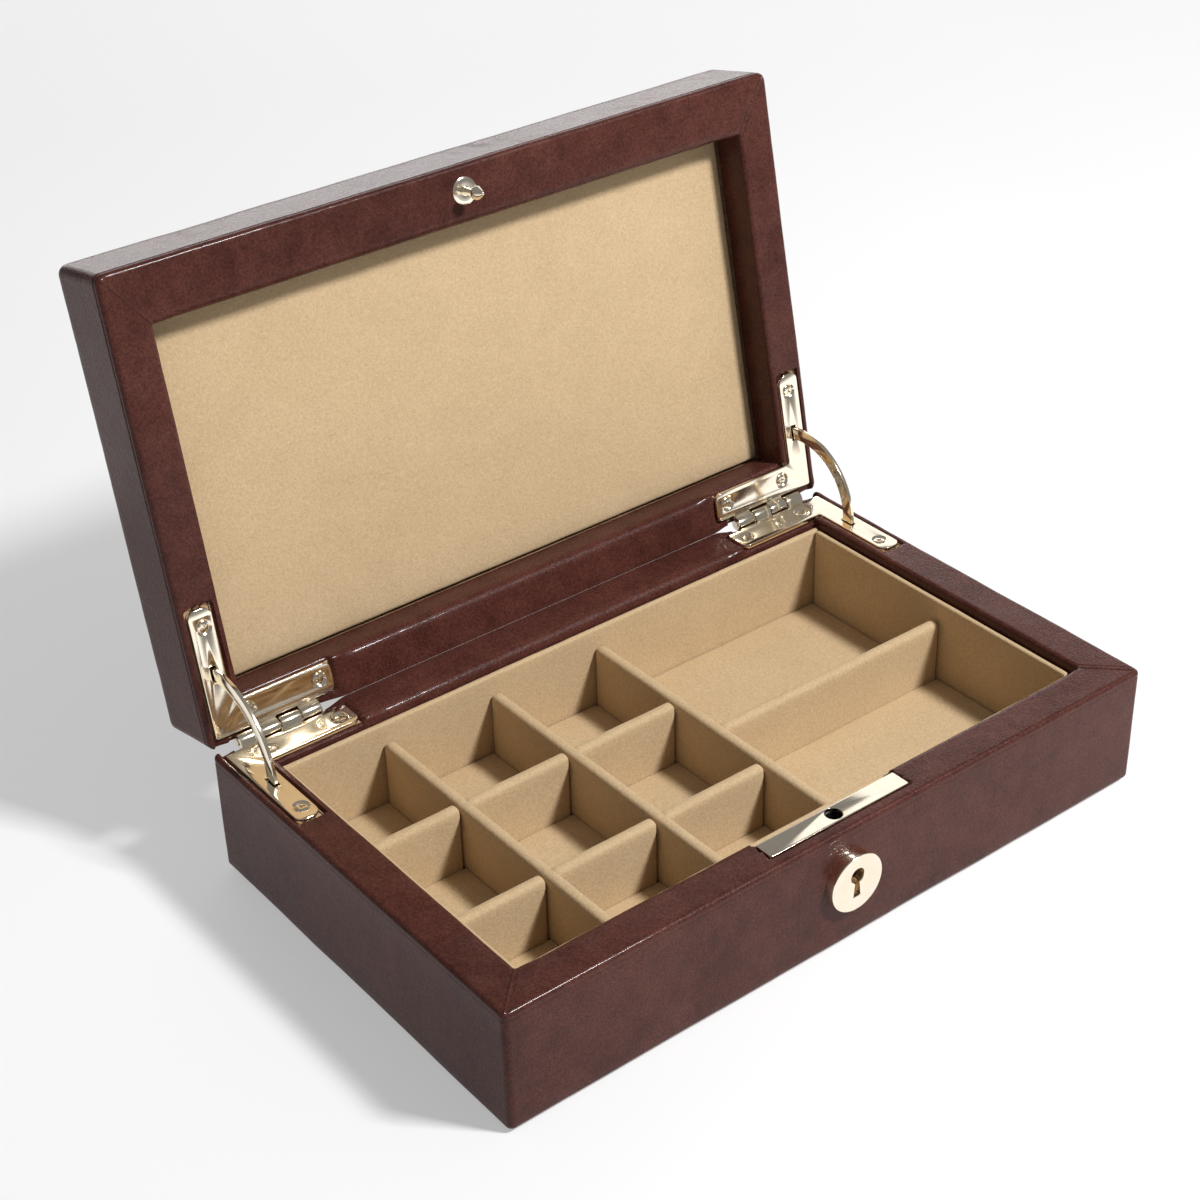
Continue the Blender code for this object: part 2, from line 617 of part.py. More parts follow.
def make_lock():
    half_plate = (PLATE_SIZE[0] / 2, PLATE_SIZE[1] / 2)
    plate = box("lock_face_plate", (-half_plate[0], LOCK_Y - half_plate[1], BASE_RIM - PLATE_SIZE[2]),
                (half_plate[0], LOCK_Y + half_plate[1], BASE_RIM), GOLD_FINISH)
    stud_hole = cutter_cylinder("stud_hole", STUD_HOLE_RADIUS, 0.0060, (0, LOCK_Y, BASE_RIM), (0, 0, 1), 32)
    cut(plate, stud_hole)

    half_case = (LOCK_CASE_SIZE[0] / 2, LOCK_CASE_SIZE[1] / 2)
    low, high = LOCK_CASE_HEIGHTS
    case = box("lock_case", (-half_case[0], LOCK_Y - half_case[1], low), (half_case[0], LOCK_Y + half_case[1], high),
               STEEL_FINISH)
    wall = LOCK_CASE_WALL
    hollow = cutter_box("lock_case_hollow", (wall - half_case[0], LOCK_Y + wall - half_case[1], low + wall),
                        (half_case[0] - wall, LOCK_Y + half_case[1] - wall, high + BIG))
    key_entry = cutter_cylinder("key_entry", KEYHOLE_RADIUS + 0.0004, 0.0030,
                                (0, LOCK_Y - half_case[1], KEYHOLE_HEIGHT), (0, 1, 0))
    cut(case, hollow, key_entry)

    room = half_case[1] - wall - FIT
    tip = STUD_HOLE_RADIUS + 0.0007
    bolt = box("lock_bolt", (tip, LOCK_Y - room, 0.0349), (0.0140, LOCK_Y + room, 0.0369), STEEL_FINISH)
    fork = cutter_box("bolt_fork", (tip - BIG, LOCK_Y - 0.0014, 0.0300), (tip + 0.0024, LOCK_Y + 0.0014, 0.0400))
    tail = box("bolt_tail", (0.0070, LOCK_Y + room - 0.0013, 0.0260), (0.0140, LOCK_Y + room, 0.0360), None,
               collection=CUTTERS)
    talon = cutter_cylinder("bolt_talon", 0.0016, 0.0100, (0.0095, LOCK_Y, 0.0260), (0, 1, 0))
    cut(bolt, fork)
    join(bolt, tail)
    cut(bolt, talon)

    post_length = 0.0034
    back_wall = LOCK_Y + half_case[1] - wall - FIT
    cylinder("key_post", 0.0008, post_length, (0, back_wall - post_length / 2, KEYHOLE_HEIGHT), (0, 1, 0),
             STEEL_FINISH, 16)
    make_lock_spring(LOCK_Y - 0.0010)


def make_lock_spring(place):
    """A bent wire that stands on the lock case's floor and ends just under the bolt."""
    wire = bpy.data.curves.new("lock_spring", "CURVE")
    wire.dimensions = "3D"
    wire.fill_mode = "FULL"
    wire.bevel_depth = 0.0003
    wire.bevel_resolution = 2
    wire.use_fill_caps = True
    route = [(0.0180, 0.0132), (0.0182, 0.0240), (0.0180, 0.0300), (0.0172, 0.0330), (0.0155, 0.0341),
             (0.0120, 0.0342), (0.0090, 0.0338)]
    spline = wire.splines.new("POLY")
    spline.points.add(len(route) - 1)
    for point, (x, z) in zip(spline.points, route):
        point.co = (x, place, z, 1.0)
    item = bpy.data.objects.new("lock_spring", wire)
    PARTS.objects.link(item)
    wire.materials.append(STEEL_FINISH)
    return item


def make_stud():
    """The catch stud on the lid: washer, neck and pointed head, pointing down while closed."""
    washer_inner = 0.0015
    washer_face = 0.0004
    washer_back = -0.0003
    radius = 0.0040
    washer_profile = [(washer_inner, washer_face), (radius - 0.0005, washer_face), (radius, washer_face - 0.0003),
                      (radius, washer_back), (washer_inner, washer_back), (washer_inner, washer_face)]
    washer = turned("stud_washer", washer_profile, (0, LOCK_Y, LID_RIM), (0, 0, -1), GOLD_FINISH, 32)
    neck = 0.0011
    stud_profile = [(0.0, 0.0096), (0.0007, 0.0094), (0.0021, 0.0066), (0.0021, 0.0058), (neck, 0.0053),
                    (neck, -0.0080), (0.0, -0.0080)]
    stud = turned("catch_stud", stud_profile, (0, LOCK_Y, LID_RIM), (0, 0, -1), GOLD_FINISH, 24)
    seat = cutter_cylinder("stud_seat", radius + FIT, 0.0060, (0, LOCK_Y, LID_RIM + 0.0006 - 0.0030), (0, 0, 1), 32)
    bore = cutter_cylinder("stud_bore", neck + FIT, 0.0200, (0, LOCK_Y, LID_RIM + 0.0083 - 0.0100), (0, 0, 1), 16)
    return washer, stud, seat, bore


# ---------------------------------------------------------------- the case
def build():
    base_boards = make_boards("base", -1, LEATHER_BOTTOM, BASE_PANEL)
    base_leather = make_leather("base", -1, LEATHER_BOTTOM, BASE_LIP, CORNER_RADIUS)
    felt = (HALF_WIDTH - FELT_INSET, HALF_DEPTH - FELT_INSET)
    box("base_felt", (-felt[0], -felt[1], 0.0), (*felt, FELT_THICKNESS), FELT_FINISH)
    make_tray()

    lid_boards = make_boards("lid", 1, LID_TOP, LID_PANEL, LID_FRONT_EXTRA)
    lid_leather = make_leather("lid", 1, LID_TOP, LID_LIP, LID_EDGE_RADIUS, LID_FRONT_EXTRA)
    lining = (HALF_WIDTH - TRAY_OUT, HALF_DEPTH - TRAY_OUT)
    lining_face = LID_TOP - BOARD_OUT - LID_PANEL - FIT - LID_LINING
    box("lid_lining_panel", (-lining[0], LID_FRONT_EXTRA - lining[1], lining_face),
        (*lining, lining_face + LID_LINING), SUEDE_FINISH, 0.0015)

    screw = screw_mesh()
    for half_name, half in HALVES:
        boards = base_boards if half < 0 else lid_boards
        leather = base_leather if half < 0 else lid_leather
        for label, side in SIDES:
            side_leg, back_leg, barrel = hinge_recess(half, label, side)
            pocket = stay_pocket(half, label, side)
            cut(leather, side_leg, back_leg, barrel)
            cut(boards[label], side_leg, back_leg, barrel, pocket, pilot_hole(half_name, half, label, side, 0))
            cut(boards["back"], back_leg, barrel, pilot_hole(half_name, half, label, side, 1),
                pilot_hole(half_name, half, label, side, 2))
            make_leaf(half_name, half, label, side)
            make_screws(screw, half_name, half, label, side)
    for label, side in SIDES:
        make_stay(label, side)
        make_pin(label, side)

    plate_room, case_room, keyway, disc_room = lock_cutters()
    cut(base_leather, plate_room, disc_room)
    cut(base_boards["front"], plate_room, case_room, keyway)
    make_lock()
    make_escutcheon()
    washer, stud, seat, bore = make_stud()
    cut(lid_leather, seat, bore)
    cut(lid_boards["front"], seat, bore)
    open_lid([washer, stud])


def open_lid(studs):
    """Hang everything of the lid on an empty on the hinge axis, and swing it open."""
    hinge = bpy.data.objects.new("lid_hinge", None)
    PARTS.objects.link(hinge)
    hinge.location = (0, back_y(0.0), AXIS_HEIGHT)
    bpy.context.view_layer.update()
    closed = hinge.matrix_world.copy()
    for item in list(PARTS.objects) + list(CUTTERS.objects):
        if item.name.startswith("lid_") and item is not hinge or item in studs \
                or item.name in ("stud_seat", "stud_bore"):
            place = item.matrix_world.copy()
            item.parent = hinge
            item.matrix_parent_inverse = closed.inverted()
            item.matrix_world = place
    hinge.rotation_euler.x = -math.radians(LID_OPEN_DEGREES)


build()
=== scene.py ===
import json
import math

import bmesh
import bpy
import numpy as np
from mathutils import Matrix, Vector, noise


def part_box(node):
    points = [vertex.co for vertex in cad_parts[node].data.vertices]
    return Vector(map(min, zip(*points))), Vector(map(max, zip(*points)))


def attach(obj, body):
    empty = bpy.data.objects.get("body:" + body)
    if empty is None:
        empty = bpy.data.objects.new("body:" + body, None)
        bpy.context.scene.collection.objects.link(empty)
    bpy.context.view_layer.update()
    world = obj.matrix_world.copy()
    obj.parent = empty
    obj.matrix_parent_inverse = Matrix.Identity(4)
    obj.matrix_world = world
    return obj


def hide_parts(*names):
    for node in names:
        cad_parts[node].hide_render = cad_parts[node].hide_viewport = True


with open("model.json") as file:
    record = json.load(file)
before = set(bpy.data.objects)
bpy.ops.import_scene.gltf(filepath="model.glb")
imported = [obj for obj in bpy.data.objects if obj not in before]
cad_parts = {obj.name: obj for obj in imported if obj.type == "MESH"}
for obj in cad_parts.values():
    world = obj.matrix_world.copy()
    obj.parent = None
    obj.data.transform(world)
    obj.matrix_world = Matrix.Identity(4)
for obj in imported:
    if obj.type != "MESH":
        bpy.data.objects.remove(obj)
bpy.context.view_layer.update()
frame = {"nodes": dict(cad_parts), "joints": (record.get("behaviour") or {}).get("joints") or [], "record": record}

MM = 0.001

# ---------------------------------------------------------------- sizes read from the frame (mm)
BASE_LOW, BASE_HIGH = (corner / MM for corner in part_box("base_leather"))
HALF_W = BASE_HIGH.x
HALF_D = BASE_HIGH.y
BASE_RIM = BASE_HIGH.z
BASE_FOOT = BASE_LOW.z
HINGE = next(joint for joint in frame["joints"] if joint["name"] == "lid_hinge")
AXIS_Y = HINGE["pos_m"][1] / MM
AXIS_Z = HINGE["pos_m"][2] / MM
OPEN_ANGLE = math.radians(HINGE["range_deg"][1])
LID_RIM = 2 * AXIS_Z - BASE_RIM
LID_TOP = AXIS_Z + 26.0
RIM_WIDTH = 13.0
LEATHER = 1.0
STAY_INSET = 6.6                # middle of each stay, from the case's side

SIDES = (("left", -1), ("right", 1))
AXIS = Vector((0.0, AXIS_Y, AXIS_Z)) * MM
SWING = Matrix.Translation(AXIS) @ Matrix.Rotation(-OPEN_ANGLE, 4, "X") @ Matrix.Translation(-AXIS)


# ---------------------------------------------------------------- material nodes
class Nodes:
    """A short way to write a node tree."""

    def __init__(self, name):
        self.material = bpy.data.materials.new(name)
        self.material.use_nodes = True
        self.tree = self.material.node_tree
        self.shader = self.tree.nodes["Principled BSDF"]
        self.place = self.add("ShaderNodeTexCoord").outputs["Object"]

    def add(self, kind, **settings):
        node = self.tree.nodes.new(kind)
        for key, value in settings.items():
            setattr(node, key, value)
        return node

    def link(self, source, target):
        self.tree.links.new(source, target)

    def feed(self, target, value):
        if isinstance(value, bpy.types.NodeSocket):
            self.link(value, target)
        else:
            target.default_value = value

    def noise(self, scale, detail=3.0, rough=0.5, stretch=None, distort=0.0):
        node = self.add("ShaderNodeTexNoise")
        node.inputs["Scale"].default_value = scale
        node.inputs["Detail"].default_value = detail
        node.inputs["Roughness"].default_value = rough
        node.inputs["Distortion"].default_value = distort
        if stretch:
            mapping = self.add("ShaderNodeMapping")
            mapping.inputs["Scale"].default_value = stretch
            self.link(self.place, mapping.inputs["Vector"])
            self.link(mapping.outputs["Vector"], node.inputs["Vector"])
        else:
            self.link(self.place, node.inputs["Vector"])
        return node.outputs["Fac"]

    def cells(self, scale):
        node = self.add("ShaderNodeTexVoronoi")
        node.inputs["Scale"].default_value = scale
        self.link(self.place, node.inputs["Vector"])
        return node.outputs["Distance"]

    def math(self, operation, first, second):
        node = self.add("ShaderNodeMath", operation=operation)
        self.feed(node.inputs[0], first)
        self.feed(node.inputs[1], second)
        return node.outputs[0]

    def total(self, *parts):
        """The sum of (value, weight) pairs."""
        weighted = [self.math("MULTIPLY", value, weight) for value, weight in parts]
        result = weighted[0]
        for part in weighted[1:]:
            result = self.math("ADD", result, part)
        return result

    def ramp(self, value, stops):
        node = self.add("ShaderNodeValToRGB")
        ramp = node.color_ramp
        while len(ramp.elements) < len(stops):
            ramp.elements.new(0.5)
        for element, (place, colour) in zip(ramp.elements, stops):
            element.position = place
            element.color = (*colour, 1.0) if isinstance(colour, tuple) else (colour,) * 3 + (1.0,)
        self.link(value, node.inputs["Fac"])
        return node.outputs["Color"]

    def multiply(self, first, second):
        """One colour times another."""
        node = self.add("ShaderNodeMix", data_type="RGBA", blend_type="MULTIPLY")
        node.inputs["Factor"].default_value = 1.0
        self.link(first, node.inputs[6])
        self.link(second, node.inputs[7])
        return node.outputs[2]

    def bump(self, height, strength, distance, below=None):
        node = self.add("ShaderNodeBump")
        node.inputs["Strength"].default_value = strength
        node.inputs["Distance"].default_value = distance
        self.link(height, node.inputs["Height"])
        if below is not None:
            self.link(below, node.inputs["Normal"])
        return node.outputs["Normal"]

    def set(self, **values):
        for key, value in values.items():
            self.feed(self.shader.inputs[key.replace("_", " ")], value)
        return self.material


def leather_material(name, dark, mid, light):
    n = Nodes(name)
    clouds = n.noise(22.0, 4.0, 0.55, distort=0.6)
    mottle = n.noise(140.0, 5.0, 0.65)
    streaks = n.noise(60.0, 4.0, 0.6, stretch=(1.0, 1.0, 0.25))
    blend = n.total((clouds, 0.34), (mottle, 0.46), (streaks, 0.20))
    colour = n.ramp(blend, ((0.36, dark), (0.50, mid), (0.64, light)))
    specks = n.ramp(n.noise(1400.0, 3.0, 0.7), ((0.36, 0.62), (0.62, 1.20)))
    colour = n.multiply(colour, specks)
    rough = n.math("ADD", n.math("MULTIPLY", mottle, 0.20), 0.17)
    pores = n.cells(1900.0)
    wrinkles = n.noise(850.0, 5.0, 0.70)
    soft = n.bump(n.noise(95.0, 3.0), 0.22, 0.0006)
    grain = n.bump(n.math("ADD", n.math("MULTIPLY", pores, 0.5), wrinkles), 0.65, 0.00022, soft)
    return n.set(Base_Color=colour, Roughness=rough, Normal=grain, Specular_IOR_Level=0.07,
                 Coat_Weight=0.15, Coat_Roughness=0.09)


def suede_material(name, dark, mid, light):
    n = Nodes(name)
    strokes = n.noise(40.0, 3.0, 0.6, distort=0.8)
    nap = n.noise(2300.0, 3.0, 0.7)
    fleck = n.noise(1050.0, 3.0, 0.6)
    blend = n.total((strokes, 0.14), (fleck, 0.30), (nap, 0.56))
    colour = n.ramp(blend, ((0.34, dark), (0.50, mid), (0.66, light)))
    pile = n.bump(n.math("ADD", n.math("MULTIPLY", nap, 0.6), fleck), 0.55, 0.00022)
    n.shader.inputs["Sheen Tint"].default_value = (0.95, 0.82, 0.62, 1.0)
    return n.set(Base_Color=colour, Roughness=0.92, Normal=pile, Specular_IOR_Level=0.18,
                 Sheen_Weight=0.35, Sheen_Roughness=0.45)


def metal_material(name, colour, tarnish, rough):
    n = Nodes(name)
    smear = n.noise(160.0, 4.0, 0.6)
    brush = n.noise(500.0, 3.0, 0.6, stretch=(0.2, 4.0, 4.0))
    tint = n.ramp(smear, ((0.35, colour), (0.75, tarnish)))
    rubbed = n.math("ADD", n.math("MULTIPLY", smear, rough * 0.7), rough * 0.6)
    waves = n.bump(n.noise(90.0, 2.0), 0.07, 0.0005)
    lines = n.bump(brush, 0.05, 0.00005, waves)
    return n.set(Base_Color=tint, Metallic=1.0, Roughness=rubbed, Normal=lines)


def wood_material(name):
    n = Nodes(name)
    rings = n.noise(60.0, 5.0, 0.6, stretch=(0.15, 1.0, 3.0), distort=1.5)
    colour = n.ramp(rings, ((0.35, (0.36, 0.23, 0.12)), (0.65, (0.58, 0.42, 0.25))))
    return n.set(Base_Color=colour, Roughness=0.75, Normal=n.bump(rings, 0.3, 0.0003))


LEATHER_SKIN = leather_material("burgundy_leather", (0.051, 0.0150, 0.0116),
                                (0.076, 0.0238, 0.0178), (0.099, 0.0330, 0.0250))
SUEDE = suede_material("tan_suede", (0.43, 0.305, 0.172), (0.53, 0.388, 0.228),
                       (0.63, 0.47, 0.29))
FELT = suede_material("brown_felt", (0.05, 0.032, 0.022), (0.08, 0.052, 0.036),
                      (0.11, 0.075, 0.052))
GOLD = metal_material("pale_gold_plate", (0.99, 0.90, 0.75), (0.94, 0.83, 0.66), 0.14)
STEEL = metal_material("lock_steel", (0.60, 0.60, 0.61), (0.42, 0.42, 0.43), 0.34)
WOOD = wood_material("poplar_board")
MATERIAL_OF_SLOT = {"burgundy_leather": LEATHER_SKIN, "tan_suede": SUEDE, "brown_felt": FELT,
                    "pale_gold_plate": GOLD, "lock_steel": STEEL, "poplar_board": WOOD}
SLOT_OF_NODE = {entry["node"]: entry["material_slot"] for entry in frame["record"]["subparts"]}
for node_name, node in frame["nodes"].items():
    node.data.materials.clear()
    node.data.materials.append(MATERIAL_OF_SLOT[SLOT_OF_NODE[node_name]])


# ---------------------------------------------------------------- pieces
def finish_piece(item, body, slot, *nodes):
    """Hang a piece on its body, with its finish and the CAD nodes that it stands for."""
    item.data.materials.clear()
    item.data.materials.append(MATERIAL_OF_SLOT[slot])
    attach(item, body)
    if nodes:
        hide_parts(*nodes)
    return item


def linked(name, data):
    """A new object in the scene."""
    item = bpy.data.objects.new(name, data)
    bpy.context.scene.collection.objects.link(item)
    return item


def new_object(name, mesh, smooth_degrees=40):
    item = linked(name, mesh)
    mesh.shade_smooth()
    mesh.set_sharp_from_angle(angle=math.radians(smooth_degrees))
    return item


def smoothstep(value, low, high):
    t = np.clip((value - low) / (high - low), 0.0, 1.0)
    return t * t * (3 - 2 * t)


def field(points, scale, seed):
    """Smooth noise at each point; scale is the size of its features in mm."""
    shift = Vector((seed * 17.3, seed * 5.1, seed * 9.7))
    return np.array([noise.noise(Vector(p) / scale + shift) for p in points])


def cap_faces(start, backwards):
    """Faces that close a ring: quads between its two long sides, and a small face at each end."""
    long_side, short_side = len(FRACTIONS[0]), len(FRACTIONS[1])
    half_way = long_side + short_side + 2 * (CORNER_STEPS - 1)
    opposite = half_way + long_side - 1
    faces = [(i, i + 1, opposite - i - 1, opposite - i) for i in range(long_side - 1)]
    faces += [tuple(range(long_side - 1, half_way + 1)), (*range(opposite, 2 * half_way), 0)]
    return [tuple(start + k for k in (reversed(face) if backwards else face)) for face in faces]


def mesh_from_grid(name, grid, capped):
    """Quads over a grid of points: rows (the profile) by columns (round the case).

    The profile closes on itself, or ends in a cap at its first and last rows.
    """
    rows, columns, _ = grid.shape
    faces = []
    for j in range(rows - 1 if capped else rows):
        here, after = j * columns, (j + 1) % rows * columns
        for i in range(columns):
            beside = (i + 1) % columns
            faces.append((here + i, here + beside, after + beside, after + i))
    if capped:
        faces += cap_faces((rows - 1) * columns, False) + cap_faces(0, True)
    mesh = bpy.data.meshes.new(name)
    mesh.from_pydata((grid.reshape(-1, 3) * MM).tolist(), [], faces)
    mesh.validate()
    shape = bmesh.new()
    shape.from_mesh(mesh)
    bmesh.ops.recalc_face_normals(shape, faces=shape.faces)
    shape.to_mesh(mesh)
    shape.free()
    return mesh


# ---------------------------------------------------------------- leather covers
def side_fractions(length, step=0.85):
    """Places along a side, closer together near its two ends."""
    near = [0.0, 0.25, 0.5, 0.8, 1.2, 1.7, 2.3]
    end = 3.0
    middle = np.linspace(end, length - end, int((length - 2 * end) / step))
    return np.concatenate([near, middle, [length - value for value in reversed(near)]]) / length


CORNER_STEPS = 6
FRACTIONS = (side_fractions(2 * HALF_W), side_fractions(2 * HALF_D))
FRONT_SIDE, BACK_SIDE = 0, 2


LEAST_CORNER = 0.25


def ring(inset, corner):
    """Points round the case at an inset from its outer faces, with the side that each lies on."""
    half_x = HALF_W - inset
    half_y = HALF_D - inset
    r = max(corner - inset * 0.8, LEAST_CORNER)
    directions = ((1, 0), (0, 1), (-1, 0), (0, -1))
    points = []
    sides = []
    for side, (dx, dy) in enumerate(directions):
        half_run = (half_x if dx else half_y) - r
        half_out = half_y if dx else half_x
        out = (dy, -dx)
        for t in FRACTIONS[side % 2]:
            along = -half_run + 2 * half_run * t
            points.append((dx * along + out[0] * half_out, dy * along + out[1] * half_out))
            sides.append(side)
        centre = (dx * half_run + out[0] * (half_out - r), dy * half_run + out[1] * (half_out - r))
        for step in range(1, CORNER_STEPS):
            angle = math.pi / 2 * step / CORNER_STEPS
            turn = (out[0] * math.cos(angle) + dx * math.sin(angle),
                    out[1] * math.cos(angle) + dy * math.sin(angle))
            points.append((centre[0] + r * turn[0], centre[1] + r * turn[1]))
            sides.append(side + 0.5)
    return np.array(points), np.array(sides)


def arc(centre, radius, start, end, steps):
    """Points along an arc from one angle to another, in degrees."""
    angles = [math.radians(start + (end - start) * k / steps) for k in range(steps + 1)]
    return [(centre[0] + radius * math.cos(a), centre[1] + radius * math.sin(a)) for a in angles]


EDGE = 1.4                      # radius of each rim's outer edge
ROLL = 1.3                      # radius of each rim's inner edge
WIDE_ROLL = 3.2                 # the same along the back rims, between the hinges
BACK_EDGE = 0.03                # radius of the rims' outer edge along the hinge side
BACK_RISE = 0.285               # how far the rims rise there to meet
RIM_ROOM = 0.29                 # no part of a rim rises further, so the closed rims don't cross
LID_FRONT_EXTRA = 3.9           # the lid's front rim is wider than the others by this
LID_LIP = 11.8                  # how far the leather is turned down inside the lid
BASE_LIP = 8.0                  # and inside the base
BASE_CREASE, LID_CREASE = 0.10, 0.28    # depth of the tooled line under each rim
BASE_CORNER, LID_CORNER = 1.9, 2.8      # radius of the upright corners
FOOT_RADIUS = 1.6               # the base's lower edge
TOP_RADIUS = 3.2                # the edge round the lid's top
TOP_MIDDLE = HALF_D - 0.6       # inset of the last ring on the lid's top
SKIN_DEPTH = 2.4                # the skin's inner side under the rim


def rim_profile(lip, roll, crease):
    """From the outer face over the rim and down the inner lip: (inset, depth below the rim)."""
    points = [(0.0, EDGE + 1.2), (crease * 0.7, EDGE + 0.95), (crease, EDGE + 0.7),
              (crease * 0.7, EDGE + 0.45), (0.0, EDGE + 0.2)]
    points += arc((EDGE, EDGE), EDGE, 180, 270, 6)
    points += [(inset, 0.0) for inset in np.linspace(EDGE + 0.5, RIM_WIDTH - roll - 0.5, 17)]
    points += arc((RIM_WIDTH - roll, roll), roll, 270, 360, 8)
    points += [(RIM_WIDTH, lip * 0.45), (RIM_WIDTH, lip * 0.75), (RIM_WIDTH, lip)]
    return points


def inner_lip(lip):
    """The skin's inner side, from the turned-down lip to the top of the outer wall."""
    return [(RIM_WIDTH - LEATHER, lip), (RIM_WIDTH - LEATHER, SKIN_DEPTH + 0.4),
            (EDGE + 0.6, SKIN_DEPTH), (LEATHER, SKIN_DEPTH + 0.5)]


def base_profile(roll):
    """Profile of the base's leather as (inset, depth below the rim): outer side, inner side."""
    height = BASE_RIM - BASE_FOOT
    outer = [(RIM_WIDTH, height), (7.0, height)]
    outer += arc((FOOT_RADIUS, height - FOOT_RADIUS), FOOT_RADIUS, 90, 180, 5)
    outer += [(0.0, depth) for depth in np.linspace(height - 4.0, EDGE + 1.6, 9)]
    outer += rim_profile(BASE_LIP, roll, BASE_CREASE)
    inner = inner_lip(BASE_LIP) + [(LEATHER, height - 2.2), (2.2, height - LEATHER),
                                   (RIM_WIDTH, height - LEATHER)]
    return outer, inner


def lid_profile(roll):
    """The same for the lid's leather, from the middle of its top to the lip and back."""
    height = LID_TOP - LID_RIM
    top = (TOP_MIDDLE, 63.0, 57.0, 51.0, 45.0, 39.0, 34.0, 29.0, 24.0, 20.0, 16.0, 12.5, 9.5, 7.5, 6.0)
    outer = [(inset, height) for inset in top]
    outer += arc((TOP_RADIUS, height - TOP_RADIUS), TOP_RADIUS, 90, 180, 7)
    outer += [(0.0, depth) for depth in np.linspace(height - 5.0, EDGE + 1.6, 6)]
    outer += rim_profile(LID_LIP, roll, LID_CREASE)
    inner = inner_lip(LID_LIP) + [(LEATHER, height - 3.8), (3.8, height - LEATHER),
                                  (20.0, height - LEATHER), (TOP_MIDDLE, height - LEATHER)]
    return outer, inner


# Rectangles pressed into a rim: low corner, high corner, and softness (left, right, front, back).
# At a hinge they are measured from the case's side and from the hinge axis.
SIDE_LEG = ((2.3, -9.0), (10.4, 42.4), (0.5, 0.7, 1.0, 0.6))
BACK_LEG = ((2.3, 2.4), (42.3, 12.7), (0.5, 0.8, 1.0, 0.7))
KNUCKLE_RAMP = ((6.9, -9.0), (37.0, 8.0), (0.5, 8.0, 1.0, 3.5))
KNUCKLE_ROOM = ((7.3, -9.0), (36.6, 0.4), (0.4, 1.2, 1.0, 3.0))
# At the lock they are measured from the case's middle and from its front.
LOCK_CUT = ((-25.25, 4.1), (25.25, 30.0), (0.3, 0.3, 0.3, 1.0))
LEAF_FLOOR = 1.75               # how deep the leather is pressed under a hinge leaf
KNUCKLE_FLOOR = 2.9             # and under the knuckles
LOCK_FLOOR = 1.5                # and under the lock's face plate


def box_fall(x, y, low, high, soft):
    """1 inside a rectangle and 0 outside it, with soft edges."""
    inside = smoothstep(x, low[0] - soft[0], low[0]) * (1 - smoothstep(x, high[0], high[0] + soft[1]))
    inside = inside * smoothstep(y, low[1] - soft[2], low[1])
    return inside * (1 - smoothstep(y, high[1], high[1] + soft[3]))


def hinge_dent(x, y):
    """Depth of the moulded recess for the two hinges, and of the room round their knuckles."""
    inset = HALF_W - np.abs(x)
    front = AXIS_Y - y
    legs = np.maximum(box_fall(inset, front, *SIDE_LEG), box_fall(inset, front, *BACK_LEG))
    leaf = np.maximum(legs, box_fall(inset, front, *KNUCKLE_RAMP)) * LEAF_FLOOR
    return np.maximum(leaf, box_fall(inset, front, *KNUCKLE_ROOM) * KNUCKLE_FLOOR)


def lock_dent(x, y):
    """Depth of the cut for the lock's face plate, open to the inside of the rim."""
    return box_fall(x, HALF_D + y, *LOCK_CUT) * LOCK_FLOOR


def roll_width(points, sides):
    """How wide each place's inner edge is rolled: fully along the back, between the hinges."""
    inset = HALF_W - np.abs(points[:, 0])
    back = (sides == BACK_SIDE) * smoothstep(inset, 44.5, 51.0)
    front = (sides == FRONT_SIDE) * 0.45 * smoothstep(inset, 13.0, 21.0)
    return back + front


def sweep_profile(profile, corner, front_extra):
    """The profile swept round the case, and each point's y before the front rim was widened."""
    outer, inner = profile(ROLL)
    wide_outer, wide_inner = profile(WIDE_ROLL)
    rolled = wide_outer + wide_inner
    grid = []
    seam_y = []
    for number, (inset, depth) in enumerate(outer + inner):
        points, sides = ring(inset, corner)
        heights = np.full(len(points), depth)
        if rolled[number] != (inset, depth):
            wide = roll_width(points, sides)
            points += wide[:, None] * (ring(rolled[number][0], corner)[0] - points)
            heights += wide * (rolled[number][1] - depth)
        seam_y.append(points[:, 1].copy())
        if depth <= LID_LIP:    # the rim and what is turned down from it
            half_y = HALF_D - inset
            extra = front_extra * min(max((inset - EDGE) / (RIM_WIDTH - EDGE), 0.0), 1.0)
            points[:, 1] += extra * (half_y - points[:, 1]) / (2 * half_y)
        on_edge = max(depth, inset) <= EDGE + 0.01
        if on_edge and number < len(outer):
            back = (sides == BACK_SIDE) * smoothstep(HALF_W - np.abs(points[:, 0]), 3.0, 9.0)
            tighter = BACK_EDGE / EDGE
            points[:, 1] += back * inset * (1 - tighter)
            heights = heights * (1 - back * (1 - tighter))
        grid.append(np.column_stack([points, heights]))
    return np.array(grid), np.array(seam_y), len(outer)


def mitre_seam(x, seam_y, depth):
    """Height of the seam where two rims meet at a corner, and of the hollow beside it."""
    from_side, from_end = HALF_W - np.abs(x), HALF_D - np.abs(seam_y)
    diagonal = np.abs(from_side - from_end)
    on_rim = (1 - smoothstep(depth, 0.2, 1.2)) * smoothstep(np.minimum(from_side, from_end), 0.2, 1.2)
    ridge = 0.22 * np.exp(-(diagonal / 0.45) ** 2)
    hollow = 0.12 * np.exp(-((diagonal - 1.0) / 0.5) ** 2)
    return on_rim * (ridge - hollow)


# Unevenness of the leather: (height, size of its features)
WAVES = ((0.16, 24.0), (0.05, 6.0), (0.02, 1.6))
LOWEST_WAVE, HIGHEST_WAVE = -0.16, 0.12


